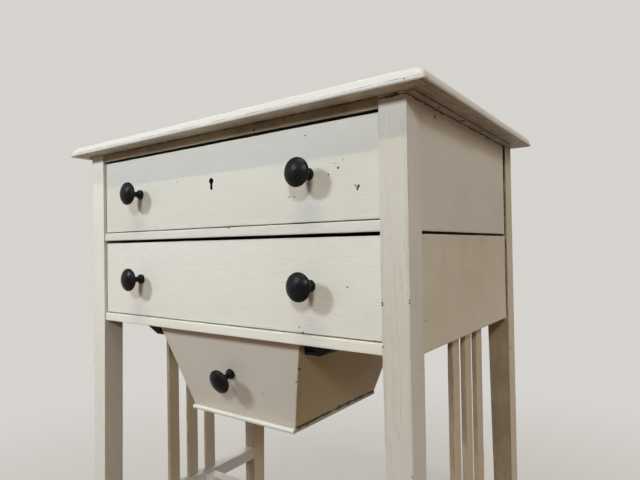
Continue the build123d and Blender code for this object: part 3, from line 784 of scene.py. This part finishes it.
class SEWING_TABLE_OT_make_top(bpy.types.Operator):
    """Make the moulded top and the strips under its ends"""

    bl_idname = "sewing_table.make_top"
    bl_label = "Top"

    def execute(self, context):
        low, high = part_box("top_board")
        bm, edge = new_mesh()
        rings = []
        spacing = settings().joinery.spacing
        for inset, height in moulded_edge(high.z - low.z):
            corner = TOP_CORNER + TOP_CORNER_GROWTH * height
            points = round_top(low, high, inset, corner, spacing)
            ring = [bm.verts.new((x, y, low.z + height)) for x, y in points]
            for vert in ring:
                vert[edge] = TOP_BEAD_WEAR if inset < TOP_QUIRK else 0.0
            rings.append(ring)
        for lower, upper in zip(rings, rings[1:]):
            for i in range(len(lower)):
                k = (i + 1) % len(lower)
                bm.faces.new((lower[i], lower[k], upper[k], upper[i]))
        bm.faces.new(list(reversed(rings[0])))
        bm.faces.new(rings[-1])
        rub(bm, edge, TOP_WEAR_DEPTH)
        for e in bm.edges:
            e.smooth = e.calc_face_angle() < SHARP_ANGLE
        # Underneath, in from the ends, soiling with painted shade, darker still at the right end
        for face in bm.faces:
            across = face.calc_center_median().x
            if face.normal.z < -SQUARE and across > low.x + TOP_MARGIN:
                face.material_index = 2 if across > high.x - TOP_MARGIN else 1
        paints = [painted("top_board", "edge"), painted("underside", "x"), painted("underside_ends", "end")]
        link_piece("top_board_moulded", bm, paints, ["top_board"])
        board("top_strips", "y", [painted("top_strips", "end")], rounding=0.5 * MM, suffix="laths")
        return {"FINISHED"}


class SEWING_TABLE_OT_make_legs(bpy.types.Operator):
    """Make the four tapered legs"""

    bl_idname = "sewing_table.make_legs"
    bl_label = "Legs"

    def execute(self, context):
        for side in SIDES:
            front = side + "_front_leg"
            outward = Vector((1 if side == "right" else -1, 0, 0))
            # Front leg insides get painted shade, and their outsides painted light
            paints = [painted(front, "z"), painted("leg_insides", "z"), painted("leg_outsides", "z")]
            board(front, "z", paints, facing(-outward, outward), rounding=1.2 * MM, suffix="post")
            # Rear leg fronts carry a painted shadow, and their faces in the gaps soiling with painted shade
            paints = [painted("rear_legs", "z"), painted("rear_leg_fronts", "worn")]
            paints += [painted("gaps", "z"), painted("gap_tops", "z")]
            board(side + "_rear_leg", "z", paints, self.rear_finish(), rounding=1.2 * MM, suffix="post")
        return {"FINISHED"}

    def rear_finish(self):
        """Painted shadow on a rear leg's front below the side boards; soiling and painted shade beside
        them, most near the top.
        """
        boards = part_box("right_lower_side_board")[0].z
        low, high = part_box("right_upper_side_board")
        darker_above = (low.z + high.z) / 2

        def choose(face):
            height = face.calc_center_median().z
            if face.normal.y > -SQUARE:
                return 0
            return 1 + int(height > boards) + int(height > darker_above)
        return choose


RAIL_EDGE = 1.2 * MM
TONGUE_SETBACK = 3.0 * MM


class SEWING_TABLE_OT_make_rails(bpy.types.Operator):
    """Make the front rails and the rear rail"""

    bl_idname = "sewing_table.make_rails"
    bl_label = "Rails"

    def execute(self, context):
        for node in ("top_rail", "middle_rail", "bottom_rail"):
            woods = [painted(node, "x"), bare_wood("x"), bare_wood("x", True)]
            board(node, "x", woods, self.finish_of(node), suffix="blade")
        board("rear_rail", "x", [bare_wood("x")], suffix="blade")
        return {"FINISHED"}

    def finish_of(self, node):
        """Paint in front, bare wood behind, and dark wood with painted shade underneath behind the drawer's
        face.
        """
        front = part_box(node)[0].y + RAIL_EDGE

        def choose(face):
            if face.normal.y > SQUARE:
                return 1
            return 2 if face.normal.z < -SQUARE and face.calc_center_median().y > front else 0
        return choose


class SEWING_TABLE_OT_make_sides(bpy.types.Operator):
    """Make the side boards and the back panel"""

    bl_idname = "sewing_table.make_sides"
    bl_label = "Sides and back"

    def execute(self, context):
        for side, inward in zip(SIDES, (1, -1)):
            for level in ("upper", "lower"):
                node = side + "_" + level + "_side_board"
                seam = -1 if level == "upper" else 1
                woods = [painted(level + "_side_boards", "y"), bare_wood("y"), bare_wood("y", True)]
                board(node, "y", woods, self.finish_of(node, inward, seam), suffix="panel")
        board("back_panel", "x", [bare_wood("x")], suffix="panel")
        return {"FINISHED"}

    def finish_of(self, node, inward, seam):
        """Paint outside, bare wood inside, and dark wood with painted shade on the seam, the rear end and
        the tongues.
        """
        low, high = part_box(node)
        recess = max(abs(low.x), abs(high.x)) - TONGUE_SETBACK

        def choose(face):
            if face.normal.x * inward > SQUARE:
                return 1
            recessed = face.normal.x * inward < -SQUARE and abs(face.calc_center_median().x) < recess
            return 2 if recessed or face.normal.z * seam > SQUARE or abs(face.normal.y) > SQUARE else 0
        return choose


class SEWING_TABLE_OT_make_runners(bpy.types.Operator):
    """Make the drawer runners, kickers and stops"""

    bl_idname = "sewing_table.make_runners"
    bl_label = "Drawer runners"

    def execute(self, context):
        for side in SIDES:
            for name in ("upper_runner", "lower_runner", "kicker"):
                board(side + "_" + name, "y", [bare_wood("y")], rounding=0.6 * MM, suffix="batten")
        board("drawer_stops", "x", [bare_wood("x")], rounding=0.5 * MM, suffix="blocks")
        return {"FINISHED"}


class SEWING_TABLE_OT_make_base(bpy.types.Operator):
    """Make the stretchers and slats"""

    bl_idname = "sewing_table.make_base"
    bl_label = "Stretchers and slats"

    def execute(self, context):
        # The slats' fronts carry a painted shadow
        slats = [painted("slats", "z"), painted("shaded_fronts", "worn")]
        for side in SIDES:
            board(side + "_stretcher", "y", [cream_paint("y")], suffix="bar")
            for place in ("front", "middle", "rear"):
                node = side + "_" + place + "_slat"
                board(node, "z", slats, facing((0, -1, 0)), rounding=0.9 * MM, suffix="lath")
        board("cross_stretcher", "x", [cream_paint("x")], suffix="bar")
        return {"FINISHED"}


KEYHOLE = Vector((-3.0, 0.0, 675.7)) * MM
KEYHOLE_LENGTH = 12.0 * MM
KEYHOLE_REACH = 6.0 * MM
KEYHOLE_HEAD = 3.0 * MM
KEYHOLE_HEAD_WEAR = 0.13
KEYHOLE_SLOT_WEAR = 0.375
FRONT_RISE = 1.2 * MM


def fit_upper_front(bm):
    """Wears the keyhole a little larger than it was cut, and brings the top edge closer to the rail."""
    top = max(vert.co.z for vert in bm.verts)
    for vert in bm.verts:
        if vert.co.z > top - 0.01 * MM:
            vert.co.z += FRONT_RISE
        away = vert.co - KEYHOLE
        if abs(away.x) < KEYHOLE_REACH and -KEYHOLE_LENGTH < away.z < KEYHOLE_REACH:
            if away.z > -KEYHOLE_HEAD:
                vert.co += Vector((KEYHOLE_HEAD_WEAR * away.x, 0, KEYHOLE_HEAD_WEAR * away.z))
            else:
                vert.co.x += KEYHOLE_SLOT_WEAR * away.x


class SEWING_TABLE_OT_make_drawers(bpy.types.Operator):
    """Make both drawers"""

    bl_idname = "sewing_table.make_drawers"
    bl_label = "Drawers"

    def execute(self, context):
        for level in ("upper", "lower"):
            name = level + "_drawer_"
            woods = [painted(name + "front", "x"), bare_wood("x"), bare_wood("x", True)]
            fit = fit_upper_front if level == "upper" else None
            board(name + "front", "x", woods, self.finish_of, suffix="panel", shape=fit)
            for side in SIDES:
                board(name + side + "_side", "y", [bare_wood("y")], rounding=0.5 * MM, suffix="panel")
            board(name + "back", "x", [bare_wood("x")], rounding=0.5 * MM, suffix="panel")
            board(name + "bottom", "x", [bare_wood("x")], rounding=0.4 * MM, suffix="panel")
        return {"FINISHED"}

    def finish_of(self, face):
        """Paint outside, bare wood behind, and dark wood with painted shade in the keyhole."""
        if face.normal.y > SQUARE:
            return 1
        away = face.calc_center_median() - KEYHOLE
        in_keyhole = max(abs(away.x), abs(away.z)) < KEYHOLE_LENGTH and abs(face.normal.y) < SQUARE
        return 2 if in_keyhole else 0


# Sizes of a turned knob in millimetres, measured from the face that it stands on
KNOB_RADIUS = 15.0
KNOB_REACH = 27.5
KNOB_RIM_REACH = 20.6
KNOB_RIM_RADIUS = 2.4
KNOB_NECK_RADIUS = 3.5
KNOB_NECK_END = 11.0
KNOB_COVE_RADIUS = 4.0
KNOB_COVE_TURN = 60.0
KNOB_COLLAR_RADIUS = 6.4
KNOB_COLLAR_STRAIGHT = 2.2
KNOB_COLLAR_REACH = 5.5
KNOB_SPIGOT_RADIUS = 4.5
KNOB_SPIGOT_LENGTH = 7.0


def bend(start, middle, end, steps):
    """Points on a curve that is drawn towards a middle point."""
    points = []
    for i in range(1, steps + 1):
        t = i / steps
        shares = ((1 - t) ** 2, 2 * t * (1 - t), t * t)
        points.append(tuple(sum(s * p[k] for s, p in zip(shares, (start, middle, end))) for k in (0, 1)))
    return points


def knob_outline():
    """Outline of a knob from its spigot to its crown, as (radius, reach)."""
    collar = (KNOB_COLLAR_RADIUS, KNOB_COLLAR_STRAIGHT)
    collar_end = (KNOB_NECK_RADIUS, KNOB_COLLAR_REACH)
    rim = (KNOB_RADIUS - KNOB_RIM_RADIUS, KNOB_RIM_REACH)
    rise = KNOB_REACH - KNOB_RIM_REACH
    dome = (rim[0] ** 2 + rise ** 2 - KNOB_RIM_RADIUS ** 2) / 2 / (rise - KNOB_RIM_RADIUS)
    shoulder = 90 - math.degrees(math.asin(rim[0] / (dome - KNOB_RIM_RADIUS)))
    points = [(0.0, -KNOB_SPIGOT_LENGTH), (KNOB_SPIGOT_RADIUS, -KNOB_SPIGOT_LENGTH)]
    points += [(KNOB_SPIGOT_RADIUS, 0.05), (KNOB_COLLAR_RADIUS - 0.4, 0.0), (KNOB_COLLAR_RADIUS, 0.4)]
    points += [collar]
    points += bend(collar, (KNOB_COLLAR_RADIUS - 0.6, KNOB_COLLAR_REACH - 1.0), collar_end, 6)
    points += [(KNOB_NECK_RADIUS, (KNOB_COLLAR_REACH + KNOB_NECK_END) / 2)]
    cove = (KNOB_NECK_RADIUS + KNOB_COVE_RADIUS, KNOB_NECK_END)
    points += arc(cove, KNOB_COVE_RADIUS, 180, 180 - KNOB_COVE_TURN, 5)
    points += arc(rim, KNOB_RIM_RADIUS, -KNOB_COVE_TURN, shoulder, 12)
    points += arc((0.0, KNOB_REACH - dome), dome, shoulder, 90, 14)[1:-1]
    return [(r * MM, s * MM) for r, s in points] + [(0.0, KNOB_REACH * MM)]


def turned(bm, outline, place, segments, edge, worn):
    """Turns an outline round the local Z axis of a place."""
    rings = []
    for radius, reach in outline:
        if radius == 0.0:
            ring = [bm.verts.new(place @ Vector((0, 0, reach)))]
        else:
            ring = []
            for i in range(segments):
                angle = 2 * math.pi * i / segments
                spot = Vector((radius * math.cos(angle), radius * math.sin(angle), reach))
                ring.append(bm.verts.new(place @ spot))
        for vert in ring:
            vert[edge] = worn(radius, reach)
        rings.append(ring)
    for lower, upper in zip(rings, rings[1:]):
        for i in range(segments):
            k = (i + 1) % segments
            below = [lower[i % len(lower)], lower[k % len(lower)]]
            above = [upper[k % len(upper)], upper[i % len(upper)]]
            bm.faces.new(list(dict.fromkeys(below + above)))


def knob_wear(radius, reach):
    """Wear is greatest on the rim of a knob."""
    return max(0.0, 1.0 - abs(reach / MM - KNOB_RIM_REACH) / (1.5 * KNOB_RIM_RADIUS))


KNOB_SEGMENTS = 72
BOX_NOSING = 4.0 * MM
BOX_KNOB_DROP = 50.5 * MM


def box_knob_place():
    """Where the box knob's collar meets the sloping front, and how far its axis leans over."""
    low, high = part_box("box_front")
    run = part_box("box_bottom")[0].y + BOX_NOSING - low.y
    slope = run / (high.z - low.z)
    foot = Vector((0.0, low.y + BOX_KNOB_DROP * slope, high.z - BOX_KNOB_DROP))
    return foot, math.pi / 2 + math.atan(slope)


class SEWING_TABLE_OT_make_knobs(bpy.types.Operator):
    """Make the five turned knobs"""

    bl_idname = "sewing_table.make_knobs"
    bl_label = "Knobs"

    def execute(self, context):
        for level in ("upper", "lower"):
            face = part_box(level + "_drawer_front")[0].y
            for side in SIDES:
                node = level + "_drawer_" + side + "_knob"
                low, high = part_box(node)
                self.make(node, Vector(((low.x + high.x) / 2, face, (low.z + high.z) / 2)), math.pi / 2)
        self.make("box_knob", *box_knob_place())
        return {"FINISHED"}

    def make(self, node, base, turn):
        place = Matrix.Translation(base) @ Matrix.Rotation(turn, 4, "X")
        bm, edge = new_mesh()
        turned(bm, knob_outline(), place, KNOB_SEGMENTS, edge, knob_wear)
        link_piece(node + "_turned", bm, [black_finish("z", True)], [node])


class SEWING_TABLE_OT_make_work_box(bpy.types.Operator):
    """Make the hanging work box and its lips"""

    bl_idname = "sewing_table.make_work_box"
    bl_label = "Work box"

    def execute(self, context):
        # The box sides, and the front's ends in the same paint, are darkened and warmed as painted shade
        ends = painted("box_sides", "y")
        front = [painted("box_front", "x"), bare_wood("x"), ends, ends]
        board("box_front", "x", front, facing((0, 0.96, 0.28), (1, 0, 0), (-1, 0, 0)), suffix="panel")
        board("box_back", "x", [cream_paint("x"), bare_wood("x")], facing((0, -0.96, 0.28)), suffix="panel")
        for side, inward in zip(SIDES, (0.957, -0.957)):
            woods = [painted("box_sides", "y"), bare_wood("y")]
            board(side + "_box_side", "y", woods, facing((inward, 0, 0.29)), suffix="panel")
            board(side + "_box_lip", "y", [black_finish("y", False)], rounding=0.7 * MM, suffix="batten")
        # The bottom's nosing is lightened as painted light
        bottom = [painted("box_bottom", "x"), bare_wood("x"), painted("box_ends", "y")]
        board("box_bottom", "x", bottom, self.floor_of_box(), rounding=0.8 * MM, suffix="panel")
        return {"FINISHED"}

    def floor_of_box(self):
        """The bottom is bare inside the box, darker with painted shade at its ends, and painted on the
        nosing in front.
        """
        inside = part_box("box_bottom")[0].y + 2 * BOX_NOSING

        def choose(face):
            if face.calc_center_median().y < inside:
                return 0
            return 2 if abs(face.normal.x) > 0.5 else int(face.normal.z > SQUARE)
        return choose


class SEWING_TABLE_OT_make_box_runners(bpy.types.Operator):
    """Make the black runners that the work box hangs in"""

    bl_idname = "sewing_table.make_box_runners"
    bl_label = "Box runners"

    def execute(self, context):
        for side in SIDES:
            board(side + "_box_runner", "y", [black_finish("y", False)], rounding=0.7 * MM, suffix="batten")
        return {"FINISHED"}


class SEWING_TABLE_OT_make_lock(bpy.types.Operator):
    """Make the lock case and its bolt"""

    bl_idname = "sewing_table.make_lock"
    bl_label = "Lock"

    def execute(self, context):
        board("lock_case", "z", [lock_brass()], rounding=0.35 * MM, suffix="cast")
        board("lock_bolt", "z", [screw_steel()], rounding=0.5 * MM, suffix="filed")
        return {"FINISHED"}


# Screws, as the radius of the shank and of the head, and the head's thickness, in millimetres
SCREWS = {
    "top_screws": (1.8, 3.6, 2.2),
    "box_runner_screws": (1.8, 3.6, 2.2),
    "lock_screws": (1.1, 2.2, 2.0),
}
SCREW_SEGMENTS = 32
SLOT_DEPTH = 0.45
SLOT_WIDTH = 0.13


def slotted_screw(bm, edge, place, shank, head, thickness, length):
    """A slotted wood screw along the local Z axis, with the face of its head at zero."""
    depth = thickness * SLOT_DEPTH
    outline = [(0.0, length), (shank * 0.15, length - 0.2 * MM), (shank, length - 3 * shank)]
    outline += [(shank, thickness), (head, thickness * 0.9), (head, depth)]
    known = set(bm.verts)
    turned(bm, outline, place, SCREW_SEGMENTS, edge, lambda r, s: float(r == head))
    inverse = place.inverted()

    def slot_floor():
        """The faces of this screw that lie at the depth of its slot."""
        fresh = [f for f in bm.faces if not known & set(f.verts)]
        return [f for f in fresh if abs((inverse @ f.calc_center_median()).z - depth) < 1e-6]

    rim = [v for v in bm.verts if v not in known and abs((inverse @ v.co).z - depth) < 1e-7]
    rim.sort(key=lambda v: math.atan2((inverse @ v.co).y, (inverse @ v.co).x))
    bm.faces.new(rim)
    for sign in (-1, 1):
        near = slot_floor()
        parts = near + list({e for f in near for e in f.edges}) + list({v for f in near for v in f.verts})
        bmesh.ops.bisect_plane(
            bm, geom=parts, dist=1e-7, plane_co=place @ Vector((0, sign * head * SLOT_WIDTH, 0)),
            plane_no=place.to_3x3() @ Vector((0, 1, 0)))
    halves = [f for f in slot_floor() if abs((inverse @ f.calc_center_median()).y) > head * SLOT_WIDTH]
    for half in halves:
        grown = bmesh.ops.extrude_discrete_faces(bm, faces=[half])["faces"]
        for vert in {v for f in grown for v in f.verts}:
            vert.co -= place.to_3x3() @ Vector((0, 0, depth))


class SEWING_TABLE_OT_make_screws(bpy.types.Operator):
    """Make the slotted screws"""

    bl_idname = "sewing_table.make_screws"
    bl_label = "Screws"

    def execute(self, context):
        for node, sizes in SCREWS.items():
            self.make(node, *(size * MM for size in sizes))
        return {"FINISHED"}

    def make(self, node, shank, head, thickness):
        low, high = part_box(node)
        bm, edge = new_mesh()
        inner_low = low + Vector((head, head, head))
        inner_high = high - Vector((head, head, head))
        number = 0
        for a in (inner_low.x, inner_high.x):
            for b in (0, 1):
                if node == "lock_screws":
                    turn = Matrix.Rotation(math.pi / 2, 4, "X")
                    base = Vector((a, high.y, (inner_low.z, inner_high.z)[b]))
                    length = high.y - low.y
                else:
                    turn = Matrix.Identity(4)
                    base = Vector((a, (inner_low.y, inner_high.y)[b], low.z))
                    length = high.z - low.z
                place = Matrix.Translation(base) @ turn @ Matrix.Rotation(0.7 + 1.1 * number, 4, "Z")
                slotted_screw(bm, edge, place, shank, head, thickness, length)
                number += 1
        bmesh.ops.recalc_face_normals(bm, faces=bm.faces[:])
        link_piece(node + "_slotted", bm, [screw_steel()], [node])


# Stage

CAMERA_PLACE = (0.446086, -0.565484, 0.595652)
CAMERA_RIGHT = (0.81279063, 0.58233097, -0.01618767)
CAMERA_DOWN = (-0.02088574, 0.00135938, -0.99978095)
CAMERA_AHEAD = (-0.5821814, 0.81295067, 0.0132673)
CAMERA_LENS = 28.024

MIDDLE = (0, 0, 0.6)
COOL_LIGHT = (0.84, 0.925, 1.0)

# Lamps by the names of their settings, as place, aim, width and height, and colour
LAMPS = {
    "left": ((-0.51, -1.25, 1.27), MIDDLE, (0.22, 0.22), COOL_LIGHT),
    "right": ((1.83, -3.18, 2.38), MIDDLE, (0.6, 0.6), COOL_LIGHT),
    "tube": ((0.2, -1.016, 2.50), (0.2, 0, 0.6), (1.2, 0.05), (1.0, 0.87, 0.56)),
    "side": ((2.2, 0.1, 1.95), MIDDLE, (1.2, 1.2), (1.0, 0.80, 0.58)),
    "low": ((-1.7, -1.68, 0.83), MIDDLE, (0.5, 0.5), (1.0, 0.93, 0.82)),
    "rear": ((-1.6, 2.0, 1.9), MIDDLE, (1.2, 1.2), (1.0, 0.95, 0.88)),
}

FILL_LIGHT = (1.0, 0.90, 0.74, 1)
FLOOR_RADIUS = 14.0
# Distances between which the floor fades into the backdrop
FADE_START = 0.3
FADE_END = 1.6


class SEWING_TABLE_OT_make_stage(bpy.types.Operator):
    """Make the floor, the lamps and the camera"""

    bl_idname = "sewing_table.make_stage"
    bl_label = "Stage"

    def execute(self, context):
        stage = settings().stage
        self.make_floor(stage)
        self.make_world(stage)
        for name, placing in LAMPS.items():
            self.make_lamp(name + " lamp", getattr(stage, name), *placing)
        self.make_camera(context.scene)
        context.scene.view_settings.view_transform = "Standard"
        return {"FINISHED"}

    def make_floor(self, stage):
        bm = bmesh.new()
        bmesh.ops.create_circle(bm, cap_ends=True, cap_tris=False, segments=96, radius=FLOOR_RADIUS)
        mesh = bpy.data.meshes.new("studio_floor")
        bm.to_mesh(mesh)
        bm.free()
        material, tree, surface = new_material("pale floor")
        place = object_place(tree)
        seen = seen_rays(tree)
        darker = tuple(c * 0.96 for c in stage.floor)
        pale = blend(tree, cloud(tree, place, 3.0, 3.0).outputs["Fac"], (*stage.floor, 1), (*darker, 1))
        tree.links.new(blend(tree, seen, (*stage.boards, 1), pale), surface.inputs["Base Color"])
        surface.inputs["Roughness"].default_value = 0.85
        far = reading(tree, "LENGTH", place)
        bright = times(tree, seen, ramp(tree, far, FADE_START, FADE_END, 0.45, 1.0))
        glow = add(tree, "ShaderNodeEmission", {"Color": (*stage.backdrop, 1), "Strength": 1.0}).outputs[0]
        mixed = add(tree, "ShaderNodeMixShader", {0: bright, 1: surface.outputs[0], 2: glow}).outputs[0]
        tree.links.new(mixed, tree.nodes["Material Output"].inputs["Surface"])
        mesh.materials.append(material)
        floor = bpy.data.objects.new("studio_floor", mesh)
        bpy.context.scene.collection.objects.link(floor)

    def make_world(self, stage):
        world = bpy.data.worlds.new("studio")
        world.use_nodes = True
        tree = world.node_tree
        tree.nodes.clear()
        fill = add(tree, "ShaderNodeBackground", {"Color": FILL_LIGHT, "Strength": stage.sky})
        back = add(tree, "ShaderNodeBackground", {"Color": (*stage.backdrop, 1), "Strength": 1.0})
        layers = {0: seen_rays(tree), 1: fill.outputs[0], 2: back.outputs[0]}
        mixed = add(tree, "ShaderNodeMixShader", layers)
        add(tree, "ShaderNodeOutputWorld", {"Surface": mixed.outputs[0]})
        bpy.context.scene.world = world

    def make_lamp(self, name, power, place, aim, size, colour):
        lamp = bpy.data.lights.new(name, "AREA")
        lamp.shape = "RECTANGLE"
        lamp.size, lamp.size_y = size
        lamp.energy = power
        lamp.color = colour
        made = bpy.data.objects.new(name, lamp)
        made.location = place
        made.rotation_mode = "QUATERNION"
        made.rotation_quaternion = (Vector(aim) - Vector(place)).to_track_quat("-Z", "Y")
        made.visible_camera = False
        bpy.context.scene.collection.objects.link(made)

    def make_camera(self, scene):
        lens = bpy.data.cameras.new("photo camera")
        lens.sensor_fit = "HORIZONTAL"
        lens.sensor_width = 36.0
        lens.lens = CAMERA_LENS
        lens.clip_start = 0.01
        camera = bpy.data.objects.new("photo camera", lens)
        right, up, back = Vector(CAMERA_RIGHT), -Vector(CAMERA_DOWN), -Vector(CAMERA_AHEAD)
        turn = Matrix((right, up, back)).transposed()
        camera.matrix_world = Matrix.Translation(CAMERA_PLACE) @ turn.to_4x4()
        scene.collection.objects.link(camera)
        scene.camera = camera


# Panel and registration

MAKERS = (
    SEWING_TABLE_OT_make_top,
    SEWING_TABLE_OT_make_legs,
    SEWING_TABLE_OT_make_rails,
    SEWING_TABLE_OT_make_sides,
    SEWING_TABLE_OT_make_runners,
    SEWING_TABLE_OT_make_base,
    SEWING_TABLE_OT_make_drawers,
    SEWING_TABLE_OT_make_knobs,
    SEWING_TABLE_OT_make_work_box,
    SEWING_TABLE_OT_make_box_runners,
    SEWING_TABLE_OT_make_lock,
    SEWING_TABLE_OT_make_screws,
    SEWING_TABLE_OT_make_stage,
)


class SEWING_TABLE_PT_panel(bpy.types.Panel):
    """Settings and steps of the sewing table"""

    bl_label = "Sewing Table"
    bl_idname = "SEWING_TABLE_PT_panel"
    bl_space_type = "VIEW_3D"
    bl_region_type = "UI"
    bl_category = "Sewing Table"

    def draw(self, context):
        for name in ("paint", "wood", "black", "joinery", "stage"):
            column = self.layout.box().column()
            part = getattr(context.scene.sewing_table, name)
            for prop in part.bl_rna.properties:
                if prop.identifier not in ("rna_type", "name"):
                    column.prop(part, prop.identifier)
        for maker in MAKERS:
            self.layout.operator(maker.bl_idname)


CLASSES = (
    PaintSettings, WoodSettings, BlackSettings, JoinerySettings, StageSettings, SewingTableSettings,
    *MAKERS, SEWING_TABLE_PT_panel,
)


def register():
    for cls in CLASSES:
        bpy.utils.register_class(cls)
    bpy.types.Scene.sewing_table = PointerProperty(type=SewingTableSettings)


def unregister():
    del bpy.types.Scene.sewing_table
    for cls in reversed(CLASSES):
        bpy.utils.unregister_class(cls)


def main():
    register()
    for maker in MAKERS:
        getattr(bpy.ops.sewing_table, maker.bl_idname.split(".")[1])()


if __name__ == "__main__":
    main()
